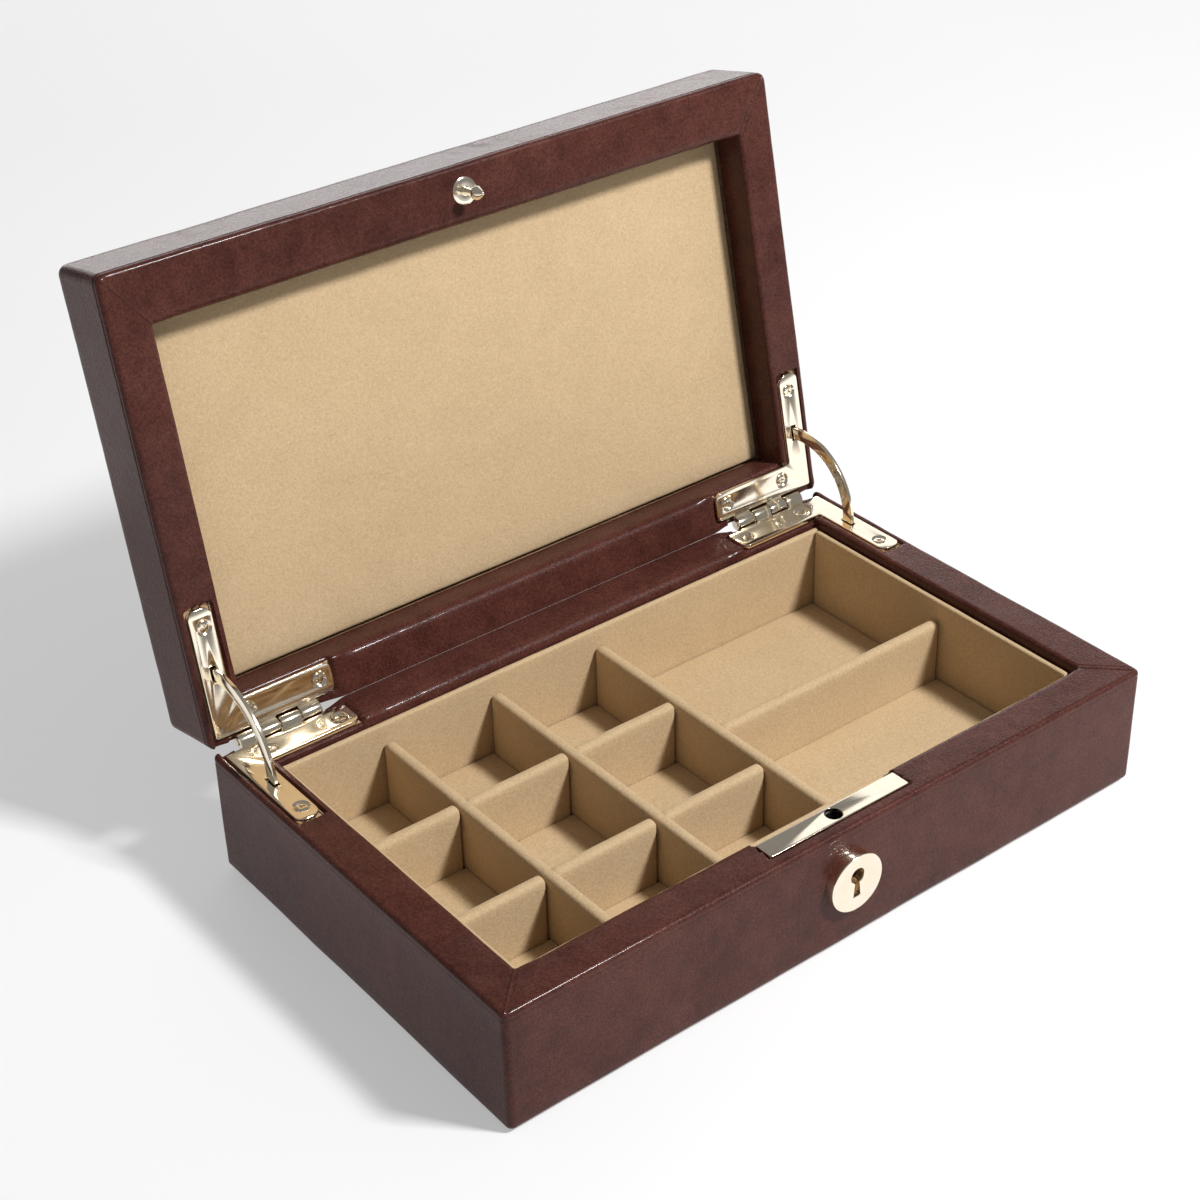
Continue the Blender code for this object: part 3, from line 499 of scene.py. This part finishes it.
def make_cover(name, profile, rim, sign, corner, front_extra, with_lock, seed):
    """A leather cover: the profile swept round the case, then dented, creased and made uneven."""
    grid, seam_y, outer_rows = sweep_profile(profile, corner, front_extra)
    x, y, depth = grid[..., 0], grid[..., 1], grid[..., 2]
    near_rim = 1 - smoothstep(depth, 3.5, 9.0)
    rise = BACK_RISE * (1 - smoothstep(HALF_D - y, 0.2, 7.0)) * (1 - smoothstep(depth, 0.0, 4.0))
    dent = hinge_dent(x, y)
    if with_lock:
        dent = np.maximum(dent, lock_dent(x, y))
    lift = np.minimum(rise + mitre_seam(x, seam_y, depth), RIM_ROOM)
    grid[..., 2] = rim - sign * (depth + dent * near_rim - lift)

    mesh = mesh_from_grid(name, grid, capped=sign < 0)
    points = grid.reshape(-1, 3)
    normals = np.zeros(points.size)
    mesh.vertices.foreach_get("normal", normals)
    count = outer_rows * grid.shape[1]
    skin = points[:count]
    waves = sum(height * field(skin, size, seed + k) for k, (height, size) in enumerate(WAVES))
    waves *= smoothstep(HALF_D - skin[:, 1] + np.abs(skin[:, 2] - rim), 0.5, 3.0)
    highest = np.minimum(RIM_ROOM - lift.ravel()[:count], HIGHEST_WAVE)
    skin += normals.reshape(-1, 3)[:count] * np.clip(waves, LOWEST_WAVE, highest)[:, None]
    mesh.vertices.foreach_set("co", (points * MM).ravel())
    mesh.update()
    return mesh


def facing(centre, direction):
    """A matrix that puts +Z along a direction at a centre (mm)."""
    turn = Vector((0, 0, 1)).rotation_difference(Vector(direction)).to_matrix().to_4x4()
    return Matrix.Translation(Vector(centre) * MM) @ turn


def cutter(name, low, high):
    """A box to cut with."""
    mesh = bpy.data.meshes.new(name)
    shape = bmesh.new()
    size = Matrix.Diagonal((*[(b - a) * MM for a, b in zip(low, high)], 1))
    middle = Matrix.Translation(Vector([(a + b) / 2 for a, b in zip(low, high)]) * MM)
    bmesh.ops.create_cube(shape, size=1.0, matrix=middle @ size)
    shape.to_mesh(mesh)
    shape.free()
    return linked(name, mesh)


def round_cutter(name, radius, length, centre, direction):
    """A rod to cut with."""
    mesh = bpy.data.meshes.new(name)
    shape = bmesh.new()
    bmesh.ops.create_cone(shape, cap_ends=True, segments=48, radius1=radius * MM, radius2=radius * MM,
                          depth=length * MM, matrix=facing(centre, direction))
    shape.to_mesh(mesh)
    shape.free()
    return linked(name, mesh)


def carve(item, cutters):
    """Cut the cutters out of a piece for good, and remove them."""
    for tool in cutters:
        step = item.modifiers.new(tool.name, "BOOLEAN")
        step.operation = "DIFFERENCE"
        step.solver = "EXACT"
        step.object = tool
    bpy.context.view_layer.update()
    graph = bpy.context.evaluated_depsgraph_get()
    mesh = bpy.data.meshes.new_from_object(item.evaluated_get(graph))
    item.modifiers.clear()
    item.data = mesh
    for tool in cutters:
        bpy.data.objects.remove(tool)
    return item


POCKET_HALF = 1.3               # half the width of the slots that the stays pass through
POCKET_NEAR, POCKET_FAR = 8.9, 25.2     # their ends, from the hinge axis
POCKET_OUT, POCKET_IN = 8.0, 12.0       # how far their cutters reach, out of and into the rim


def stay_pockets(prefix, rim, sign):
    """Cutters for the slots that the stays pass through."""
    tools = []
    for label, side in SIDES:
        x = side * (HALF_W - STAY_INSET)
        bottom, top = sorted((rim + sign * POCKET_OUT, rim - sign * POCKET_IN))
        tools.append(cutter(f"{prefix}_{label}_slot", (x - POCKET_HALF, AXIS_Y - POCKET_FAR, bottom),
                            (x + POCKET_HALF, AXIS_Y - POCKET_NEAR, top)))
    return tools


LOCK_Y = (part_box("lock_face_plate")[0].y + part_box("lock_face_plate")[1].y) / 2 / MM
LOCK_ROOM = (20.0, 2.9)         # half the width and depth of the cut for the lock, under its plate
ESCUTCHEON_Z = (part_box("escutcheon")[0].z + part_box("escutcheon")[1].z) / 2 / MM
ESCUTCHEON_ROOM = 8.6           # radius of the hole behind the escutcheon

base_cover = new_object("base_cover", make_cover("base_cover", base_profile, BASE_RIM, 1,
                                                 BASE_CORNER, 0.0, True, 1))
carve(base_cover, stay_pockets("base", BASE_RIM, 1) + [
    cutter("lock_room", (-LOCK_ROOM[0], LOCK_Y - LOCK_ROOM[1], BASE_RIM - 6.0),
           (LOCK_ROOM[0], LOCK_Y + LOCK_ROOM[1], BASE_RIM + 5.0)),
    round_cutter("escutcheon_room", ESCUTCHEON_ROOM, 5.0, (0, -HALF_D, ESCUTCHEON_Z), (0, 1, 0))])
finish_piece(base_cover, "base", "burgundy_leather", "base_leather")

lid_cover = new_object("lid_cover", make_cover("lid_cover", lid_profile, LID_RIM, -1,
                                               LID_CORNER, LID_FRONT_EXTRA, False, 7))
carve(lid_cover, stay_pockets("lid", LID_RIM, -1))
lid_cover.data.transform(SWING)
finish_piece(lid_cover, "lid", "burgundy_leather", "lid_leather")


# ---------------------------------------------------------------- suede pieces
def axis_places(low, high, radius_low, radius_high, step):
    """Places along one axis of a slab, closer together over its rounded edges."""
    places = [low]
    if radius_low:
        places += [low + radius_low * part for part in (0.12, 0.3, 0.55, 1.0)]
    first = places[-1]
    last = high - radius_high
    count = max(int((last - first) / step), 1)
    places += list(np.linspace(first, last, count + 1)[1:])
    if radius_high:
        places += [high - radius_high * part for part in (0.55, 0.3, 0.12, 0.0)]
    return np.array(places)


CROWN_EDGE = 6.0                # how far in from its sides a pad reaches its full height


def slab_mesh(name, low, high, low_radius, high_radius, step=2.0, crown=0.0, waves=0.08, seed=1):
    """A box with rounded edges, crowned and a little uneven.

    Each end of each axis has its own radius. The crown lifts the top, or the underside if it is
    below zero.
    """
    low, high = np.array(low, float), np.array(high, float)
    r_low, r_high = np.array(low_radius, float), np.array(high_radius, float)
    places = [axis_places(low[k], high[k], r_low[k], r_high[k], step) for k in range(3)]
    counts = [len(p) for p in places]
    index = {}
    points = []
    faces = []

    def corner(key):
        if key not in index:
            index[key] = len(points)
            points.append([places[k][key[k]] for k in range(3)])
        return index[key]

    for axis in range(3):
        a, b = (axis + 1) % 3, (axis + 2) % 3
        for level in (0, counts[axis] - 1):
            for i in range(counts[a] - 1):
                for j in range(counts[b] - 1):
                    keys = []
                    for di, dj in ((0, 0), (1, 0), (1, 1), (0, 1)):
                        key = [0, 0, 0]
                        key[axis], key[a], key[b] = level, i + di, j + dj
                        keys.append(corner(tuple(key)))
                    faces.append(keys if level else keys[::-1])
    points = np.array(points)
    near_low = points < low + r_low
    near_high = points > high - r_high
    core = np.clip(points, low + r_low, high - r_high)
    radius = np.where(near_low, r_low, np.where(near_high, r_high, 1.0))
    offset = (points - core) / np.where(radius > 0, radius, 1.0)
    length = np.linalg.norm(offset, axis=1)
    reach = np.where(length > 1e-9, np.max(np.abs(offset), axis=1) / np.maximum(length, 1e-9), 0.0)
    points = core + offset * reach[:, None] * radius
    if crown:
        from_centre = points - (low + high) / 2
        half = (high - low) / 2
        dome = np.ones(len(points))
        for k in (0, 1):
            dome *= smoothstep(half[k] - np.abs(from_centre[:, k]), 0.0, min(CROWN_EDGE, half[k]))
        points[:, 2] += crown * dome * (from_centre[:, 2] * crown > 0)
    mesh = bpy.data.meshes.new(name)
    mesh.from_pydata((points * MM).tolist(), [], faces)
    mesh.update()
    normals = np.zeros(len(points) * 3)
    mesh.vertices.foreach_get("normal", normals)
    wave = waves * (field(points, 9.0, seed) + 0.4 * field(points, 2.5, seed + 3))
    points += normals.reshape(-1, 3) * (wave - waves * 0.6)[:, None]
    mesh.vertices.foreach_set("co", (points * MM).ravel())
    mesh.update()
    return mesh


def node_box(name):
    """The box of a CAD node (mm)."""
    low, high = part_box(name)
    return [v / MM for v in low], [v / MM for v in high]


SUEDE_SMOOTH = 60               # degrees: edges below this are shaded smooth


def suede_slab(name, node, low_radius, high_radius, seed, grow=((0, 0, 0), (0, 0, 0))):
    """A suede piece in place of a CAD node, with its two corners moved."""
    low, high = node_box(node)
    low = [a + g for a, g in zip(low, grow[0])]
    high = [a + g for a, g in zip(high, grow[1])]
    mesh = slab_mesh(name, low, high, low_radius, high_radius, seed=seed)
    return finish_piece(new_object(name, mesh, SUEDE_SMOOTH), "base", "tan_suede", node)


# A column reaches down into its floor pads. A row also runs a little into the column beside it,
# and stands just below its top.
COLUMN_GROW = ((0, 0, -0.8), (0, 0, 0))
ROW_GROW = ((-1.8, 0, -0.8), (0, 0, -0.15))
ROW_RADII = ((0.3, 1.6, 0), (1.1, 1.6, 1.9))
for number, wall in enumerate(("front", "back")):
    suede_slab(f"lining_{wall}", f"tray_{wall}_wall", (0, 0.8, 0), (0, 0.8, 0.9), 20 + number)
for number, wall in enumerate(("left", "right")):
    suede_slab(f"lining_{wall}", f"tray_{wall}_wall", (0.8, 0.5, 0), (0.8, 0.5, 0.9), 23 + number)
for number in (1, 2, 3):
    suede_slab(f"column_{number}", f"column_divider_{number}", (1.6, 0.5, 0), (1.6, 0.5, 1.9),
               30 + number, COLUMN_GROW)
for number, row in enumerate(("1a", "1b", "2a", "2b", "3a", "3b")):
    suede_slab(f"row_{row}", f"row_divider_{row}", *ROW_RADII, 40 + number, ROW_GROW)
suede_slab("row_wide", "wide_divider", *ROW_RADII, 50, ROW_GROW)


PAD_CROWN = 0.35
PAD_WAVES = 0.10


def floor_pads():
    """One slightly pillowed pad in each compartment."""
    low, high = node_box("tray_floor")
    columns = [node_box(f"column_divider_{n}") for n in (1, 2, 3)]
    lefts = [low[0]] + [box[1][0] for box in columns]
    rights = [box[0][0] for box in columns] + [high[0]]
    rows = [node_box("row_divider_1a"), node_box("row_divider_1b")]
    wide = [node_box("wide_divider")]
    gap, lift, radius = 0.05, 0.2, 0.4
    number = 0
    for column in range(4):
        bars = rows if column < 3 else wide
        fronts = [low[1]] + [bar[1][1] for bar in bars]
        backs = [bar[0][1] for bar in bars] + [high[1]]
        for front, back in zip(fronts, backs):
            number += 1
            name = f"floor_pad_{number:02d}"
            mesh = slab_mesh(name, (lefts[column] + gap, front + gap, low[2] + lift),
                             (rights[column] - gap, back - gap, high[2] + lift),
                             (radius, radius, 0), (radius, radius, radius),
                             crown=PAD_CROWN, waves=PAD_WAVES, seed=60 + number)
            pad = finish_piece(new_object(name, mesh, SUEDE_SMOOTH), "base", "tan_suede", "tray_floor")


floor_pads()


def lid_lining():
    """The padded panel in the lid, made with the lid closed and then swung open."""
    inset = RIM_WIDTH + 0.25
    low = (-(HALF_W - inset), LID_FRONT_EXTRA - (HALF_D - inset), LID_RIM + 12.0)
    high = (HALF_W - inset, HALF_D - inset, LID_RIM + 17.8)
    mesh = slab_mesh("lid_panel", low, high, (1.6, 1.6, 1.3), (1.6, 1.6, 0.3), step=2.4,
                     crown=-PAD_CROWN, waves=PAD_WAVES, seed=80)
    mesh.transform(SWING)
    panel = finish_piece(new_object("lid_panel", mesh, SUEDE_SMOOTH), "lid", "tan_suede",
                         "lid_lining_panel")


lid_lining()


# ---------------------------------------------------------------- metal pieces
def plate_from_outline(name, outline, holes, thickness, bevel, matrix):
    """A flat plate with softened edges, from its outline and those of its holes (mm)."""
    curve = bpy.data.curves.new(name, "CURVE")
    curve.dimensions = "2D"
    curve.fill_mode = "BOTH"
    curve.extrude = (thickness / 2 - bevel) * MM
    curve.bevel_depth = bevel * MM
    curve.bevel_resolution = 2
    curve.offset = -bevel * MM
    for points in (outline, *holes):
        spline = curve.splines.new("POLY")
        spline.points.add(len(points) - 1)
        for point, (x, y) in zip(spline.points, points):
            point.co = (x * MM, y * MM, 0.0, 1.0)
        spline.use_cyclic_u = True
    drawn = linked(name, curve)
    bpy.context.view_layer.update()
    graph = bpy.context.evaluated_depsgraph_get()
    mesh = bpy.data.meshes.new_from_object(drawn.evaluated_get(graph))
    bpy.data.objects.remove(drawn)
    shape = bmesh.new()
    shape.from_mesh(mesh)
    bmesh.ops.remove_doubles(shape, verts=shape.verts, dist=0.000002)
    bmesh.ops.recalc_face_normals(shape, faces=shape.faces)
    shape.to_mesh(mesh)
    shape.free()
    mesh.transform(matrix)
    return mesh


def circle(centre, radius, count):
    """The corners of a round outline."""
    return arc(centre, radius, 0.0, 360.0, count)[:-1]


def rounded_outline(corners, radii, steps=6):
    """The corners of a closed outline, each rounded by its own radius."""
    points = []
    count = len(corners)
    for k, (corner, radius) in enumerate(zip(corners, radii)):
        here = Vector(corner)
        back = (Vector(corners[k - 1]) - here).normalized()
        ahead = (Vector(corners[(k + 1) % count]) - here).normalized()
        half = math.acos(max(-1.0, min(1.0, back.dot(ahead)))) / 2
        reach = radius / math.tan(half)
        centre = here + (back + ahead).normalized() * (radius / math.sin(half))
        start = here + back * reach - centre
        end = here + ahead * reach - centre
        for step in range(steps + 1):
            turn = start.lerp(end, step / steps).normalized() * radius
            points.append(tuple(centre + turn))
    return points


def joined(name, meshes):
    """One mesh from several."""
    shape = bmesh.new()
    for mesh in meshes:
        shape.from_mesh(mesh)
    whole = bpy.data.meshes.new(name)
    shape.to_mesh(whole)
    shape.free()
    for mesh in meshes:
        bpy.data.meshes.remove(mesh)
    return whole


def turned_mesh(name, profile, matrix, steps=48):
    """A closed turned shape from (radius, height) points, top to bottom (mm)."""
    mesh = bpy.data.meshes.new(name)
    shape = bmesh.new()
    corners = [shape.verts.new((r * MM, 0.0, z * MM)) for r, z in profile]
    edges = [shape.edges.new(pair) for pair in zip(corners, corners[1:])]
    bmesh.ops.spin(shape, geom=corners + edges, axis=(0, 0, 1), cent=(0, 0, 0), steps=steps,
                   angle=2 * math.pi, use_merge=False)
    bmesh.ops.remove_doubles(shape, verts=shape.verts, dist=0.000002)
    bmesh.ops.recalc_face_normals(shape, faces=shape.faces)
    shape.to_mesh(mesh)
    shape.free()
    mesh.transform(matrix)
    return mesh


# Hinge leaves, as (distance from the case's side, distance from the hinge axis)
LEAF_CORNERS = ((2.7, 2.9), (42.0, 2.9), (42.0, 12.2), (10.1, 12.2), (10.1, 42.0), (2.7, 42.0))
LEAF_RADII = (0.8, 1.8, 2.4, 1.2, 3.0, 2.4)
LEAF_SLOT = ((5.6, 19.3), (7.6, 19.3), (7.6, 24.5), (5.6, 24.5))
LEAF_SCREWS = ((6.8, 36.5), (14.3, 8.0), (37.5, 8.0))
SCREW_HOLE = 2.45
SCREW_DISH = ((2.62, 0.0), (2.62, -1.45), (0.9, -1.45), (0.9, -1.2), (1.75, -0.62), (2.35, -0.06),
              (2.62, 0.0))
LEAF_FACE = 0.2                 # leaf face to the parting plane
LEAF_THICK = 1.5
KNUCKLE_RADIUS = 2.3
KNUCKLE_LENGTH = 6.44
KNUCKLE_START = 8.5             # first knuckle, from the case's side
KNUCKLE_STEP = 6.85
LEAF_BEVEL, PLATE_BEVEL, ROUND_BEVEL = 0.22, 0.18, 0.28     # softening of the metal's edges
METAL_SMOOTH = 35               # degrees: edges below this are shaded smooth
TURNED_SMOOTH = 50


def leaf_mesh(name, side, half):
    """One hinge leaf with its knuckles, in the shut case; half is -1 in the base and +1 in the lid."""
    outline = rounded_outline(LEAF_CORNERS, LEAF_RADII)
    holes = [rounded_outline(LEAF_SLOT, (0.35,) * 4, 3)]
    holes += [circle(screw, SCREW_HOLE, 32) for screw in LEAF_SCREWS]
    level = (AXIS_Z + half * (LEAF_FACE + LEAF_THICK / 2)) * MM
    place = Matrix(((-side, 0, 0, side * HALF_W * MM), (0, -1, 0, AXIS_Y * MM), (0, 0, 1, level),
                    (0, 0, 0, 1)))
    meshes = [plate_from_outline(name, outline, holes, LEAF_THICK, LEAF_BEVEL, place)]
    face, tongue = half * LEAF_FACE, half * (LEAF_FACE + LEAF_THICK)
    section = [(-4.6, tongue), (-4.6, face), (-2.6, face)]
    section += arc((0.0, 0.0), KNUCKLE_RADIUS, -165.0 * half, 100.0 * half, 28)
    first = 0 if half < 0 else 1
    for number in (first, first + 2):
        from_side = KNUCKLE_START + number * KNUCKLE_STEP + KNUCKLE_LENGTH / 2
        place = Matrix(((0, 0, 1, side * (HALF_W - from_side) * MM), (1, 0, 0, AXIS_Y * MM),
                        (0, 1, 0, AXIS_Z * MM), (0, 0, 0, 1)))
        meshes.append(plate_from_outline(f"{name}_knuckle", section, [], KNUCKLE_LENGTH,
                                         ROUND_BEVEL, place))
    for screw in LEAF_SCREWS:
        centre = (side * (HALF_W - screw[0]), AXIS_Y - screw[1], AXIS_Z + half * LEAF_FACE)
        meshes.append(turned_mesh(f"{name}_dish", SCREW_DISH, facing(centre, (0, 0, -half)), 32))
    return joined(name, meshes)


SCREW_PROFILE = ((0.0, 0.02), (0.9, -0.02), (1.55, -0.14), (1.78, -0.30), (1.70, -0.62), (1.0, -1.3),
                 (1.0, -6.0), (0.0, -7.0))


def cross_head(name, matrix):
    """A countersunk head with a cross recess, slightly domed, and its shank."""
    item = new_object(name, turned_mesh(name, SCREW_PROFILE, Matrix.Identity(4), 32))
    blades = []
    for number, (a, b) in enumerate(((1.15, 0.26), (0.26, 1.15))):
        blades.append(cutter(f"{name}_blade_{number}", (-a, -b, -0.7), (a, b, 0.5)))
    carve(item, blades)
    mesh = item.data
    bpy.data.objects.remove(item)
    mesh.transform(matrix)
    return mesh


HEAD_SUNK = 0.12                # how far each screw head sits below its leaf's face


def hinges():
    """The four leaves with their screws, each turned a little differently."""
    for body, half in (("base", -1), ("lid", 1)):
        move = Matrix.Identity(4) if half < 0 else SWING
        for label, side in SIDES:
            mesh = leaf_mesh(f"{body}_{label}_leaf", side, half)
            mesh.transform(move)
            item = new_object(f"{body}_{label}_leaf", mesh, METAL_SMOOTH)
            finish_piece(item, body, "pale_gold_plate", f"{body}_{label}_hinge_leaf")
            for number, screw in enumerate(LEAF_SCREWS):
                centre = (side * (HALF_W - screw[0]), AXIS_Y - screw[1],
                          AXIS_Z + half * (LEAF_FACE + HEAD_SUNK))
                spin = Matrix.Rotation(math.radians(23 + 37 * number + 11 * side + 17 * half), 4, "Z")
                name = f"{body}_{label}_head_{number + 1}"
                head = cross_head(name, move @ facing(centre, (0, 0, -half)) @ spin)
                node = f"{body}_{label}_screw_{number + 1}"
                finish_piece(new_object(name, head, METAL_SMOOTH), body, "pale_gold_plate", node)


STAY_INNER, STAY_OUTER = 19.9, 23.9     # radii of each stay's band, about the hinge axis
HEAD_INNER, HEAD_OUTER = 19.0, 24.8     # and of its wider heads
STAY_THICK = 1.2
HEAD_SPAN = 4.0                 # degrees of arc in each head
STAY_PAST = 10.0                # degrees of arc past each rim


def stays():
    """The two curved stays, each a stamped arc with wider heads."""
    start, end = -STAY_PAST, math.degrees(OPEN_ANGLE) + STAY_PAST
    neck_start, neck_end = start + HEAD_SPAN, end - HEAD_SPAN
    centre = (0.0, 0.0)
    points = arc(centre, HEAD_INNER, start, start, 1)[:1]
    points += arc(centre, HEAD_OUTER, start, neck_start, 1)
    points += arc(centre, STAY_OUTER, neck_start, neck_end, 44)
    points += arc(centre, HEAD_OUTER, neck_end, end, 1)
    points += arc(centre, HEAD_INNER, end, neck_end, 1)
    points += arc(centre, STAY_INNER, neck_end, neck_start, 44)
    points += arc(centre, HEAD_INNER, neck_start, neck_start, 1)[:1]
    for label, side in SIDES:
        name = f"{label}_stay_arc"
        place = Matrix(((0, 0, 1, side * (HALF_W - STAY_INSET) * MM), (-1, 0, 0, AXIS_Y * MM),
                        (0, 1, 0, AXIS_Z * MM), (0, 0, 0, 1)))
        mesh = plate_from_outline(name, points, [], STAY_THICK, PLATE_BEVEL, place)
        finish_piece(new_object(name, mesh, METAL_SMOOTH), f"{label}_stay", "pale_gold_plate",
                     f"{label}_stay")


STUD_HOLE = 2.5
KEYHOLE_RADIUS = 2.4
KEYHOLE_RISE = 2.4              # round part's centre above the plate's
KEYHOLE_LENGTH = 7.0            # from that centre to the slot's foot
KEYHOLE_NECK, KEYHOLE_FOOT = 0.8, 1.3   # half widths of the slot


def lock_plate():
    """The face plate in the rim, with the hole that the stud enters."""
    low, high = node_box("lock_face_plate")
    corners = [(low[0], low[1]), (high[0], low[1]), (high[0], high[1]), (low[0], high[1])]
    outline = rounded_outline(corners, (0.35,) * 4, 3)
    hole = circle((0.0, LOCK_Y), STUD_HOLE, 48)
    place = Matrix.Translation((0, 0, (low[2] + high[2]) / 2 * MM))
    mesh = plate_from_outline("lock_plate", outline, [hole], high[2] - low[2], PLATE_BEVEL, place)
    finish_piece(new_object("lock_plate", mesh, METAL_SMOOTH), "base", "pale_gold_plate",
                 "lock_face_plate")


def key_plate():
    """The round escutcheon with its keyhole."""
    low, high = node_box("escutcheon")
    radius = (high[0] - low[0]) / 2
    thickness = high[1] - low[1]
    neck = math.degrees(math.asin(KEYHOLE_NECK / KEYHOLE_RADIUS))
    keyhole = arc((0.0, KEYHOLE_RISE), KEYHOLE_RADIUS, neck - 90, 270 - neck, 24)
    foot = KEYHOLE_RISE - KEYHOLE_LENGTH
    keyhole += [(-KEYHOLE_FOOT, foot), (KEYHOLE_FOOT, foot)]
    place = Matrix(((1, 0, 0, 0), (0, 0, -1, (low[1] + thickness / 2) * MM),
                    (0, 1, 0, ESCUTCHEON_Z * MM), (0, 0, 0, 1)))
    outline = circle((0.0, 0.0), radius, 72)
    mesh = plate_from_outline("key_plate", outline, [keyhole], thickness, ROUND_BEVEL, place)
    finish_piece(new_object("key_plate", mesh, METAL_SMOOTH), "base", "pale_gold_plate", "escutcheon")


# Turned profiles of the lid's catch, as (radius, height out of the rim)
COLLAR_PROFILE = ((1.5, 0.35), (2.9, 0.42), (3.6, 0.34), (4.0, 0.12), (4.0, -0.3), (1.5, -0.3), (1.5, 0.35))
POST_PROFILE = ((0.0, 9.6), (0.35, 9.5), (0.75, 9.0), (1.9, 7.0), (2.1, 6.5), (2.05, 6.0), (1.7, 5.6),
                (1.2, 5.35), (1.1, 5.0), (1.1, 1.4), (1.45, 0.6), (1.45, 0.2), (1.1, 0.1), (1.1, -8.0),
                (0.0, -8.0))


def stud():
    """The catch in the lid's front rim: a stud in a collar."""
    place = SWING @ facing((0.0, LOCK_Y, LID_RIM), (0, 0, -1))
    for name, profile, node in (("stud_collar", COLLAR_PROFILE, "stud_washer"),
                                ("stud_post", POST_PROFILE, "catch_stud")):
        item = new_object(name, turned_mesh(name, profile, place), TURNED_SMOOTH)
        finish_piece(item, "lid", "pale_gold_plate", node)


hinges()
stays()
lock_plate()
key_plate()
stud()


# ---------------------------------------------------------------- stage, light and camera
def make_floor():
    mesh = bpy.data.meshes.new("floor")
    shape = bmesh.new()
    bmesh.ops.create_grid(shape, x_segments=1, y_segments=1, size=6.0)
    shape.to_mesh(mesh)
    shape.free()
    n = Nodes("pale_floor")
    tone = n.ramp(n.noise(3.0, 2.0), ((0.3, 0.54), (0.7, 0.56)))
    mesh.materials.append(n.set(Base_Color=tone, Roughness=0.9, Specular_IOR_Level=0.1,
                                Emission_Color=(1.0, 1.0, 1.0, 1.0), Emission_Strength=0.38))
    linked("floor", mesh)


LIGHT_TARGET = (0.0, 0.02, 0.06)


def area_light(name, place, size, power):
    light = bpy.data.lights.new(name, "AREA")
    light.shape = "RECTANGLE"
    light.size, light.size_y = size
    light.energy = power
    item = linked(name, light)
    item.location = place
    item.rotation_mode = "QUATERNION"
    item.rotation_quaternion = (Vector(LIGHT_TARGET) - Vector(place)).to_track_quat("-Z", "Y")


def make_light():
    world = bpy.data.worlds.new("studio")
    world.use_nodes = True
    background = world.node_tree.nodes["Background"]
    background.inputs["Color"].default_value = (1.0, 1.0, 1.0, 1.0)
    background.inputs["Strength"].default_value = 0.21
    bpy.context.scene.world = world
    area_light("key", (0.455, -0.74, 1.07), (0.19, 0.19), 21.5)
    area_light("backdrop", (0.85, 1.35, 0.80), (2.3, 1.1), 7.5)
    area_light("low_strip", (0.90, 1.45, 0.31), (2.0, 0.30), 6.0)


CAMERA_PLACE = (-0.34509, -0.41386, 0.42062)
CAMERA_AZIMUTH, CAMERA_ELEVATION, CAMERA_ROLL = 37.33, 32.46, -1.582
CAMERA_LENS = 69.22


def make_camera():
    camera = bpy.data.cameras.new("camera")
    camera.lens = CAMERA_LENS
    camera.sensor_width = 36.0
    item = linked("camera", camera)
    azimuth, elevation = math.radians(CAMERA_AZIMUTH), math.radians(CAMERA_ELEVATION)
    roll = math.radians(CAMERA_ROLL)
    ahead = Vector((math.sin(azimuth) * math.cos(elevation), math.cos(azimuth) * math.cos(elevation),
                    -math.sin(elevation)))
    level = Vector((math.cos(azimuth), -math.sin(azimuth), 0.0))
    up = level.cross(ahead)
    right = math.cos(roll) * level + math.sin(roll) * up
    top = -math.sin(roll) * level + math.cos(roll) * up
    turn = Matrix((right, top, -ahead)).transposed().to_4x4()
    item.matrix_world = Matrix.Translation(CAMERA_PLACE) @ turn
    camera.clip_start, camera.clip_end = 0.01, 50.0
    bpy.context.scene.camera = item
    bpy.context.scene.view_settings.view_transform = "Standard"


make_floor()
make_light()
make_camera()
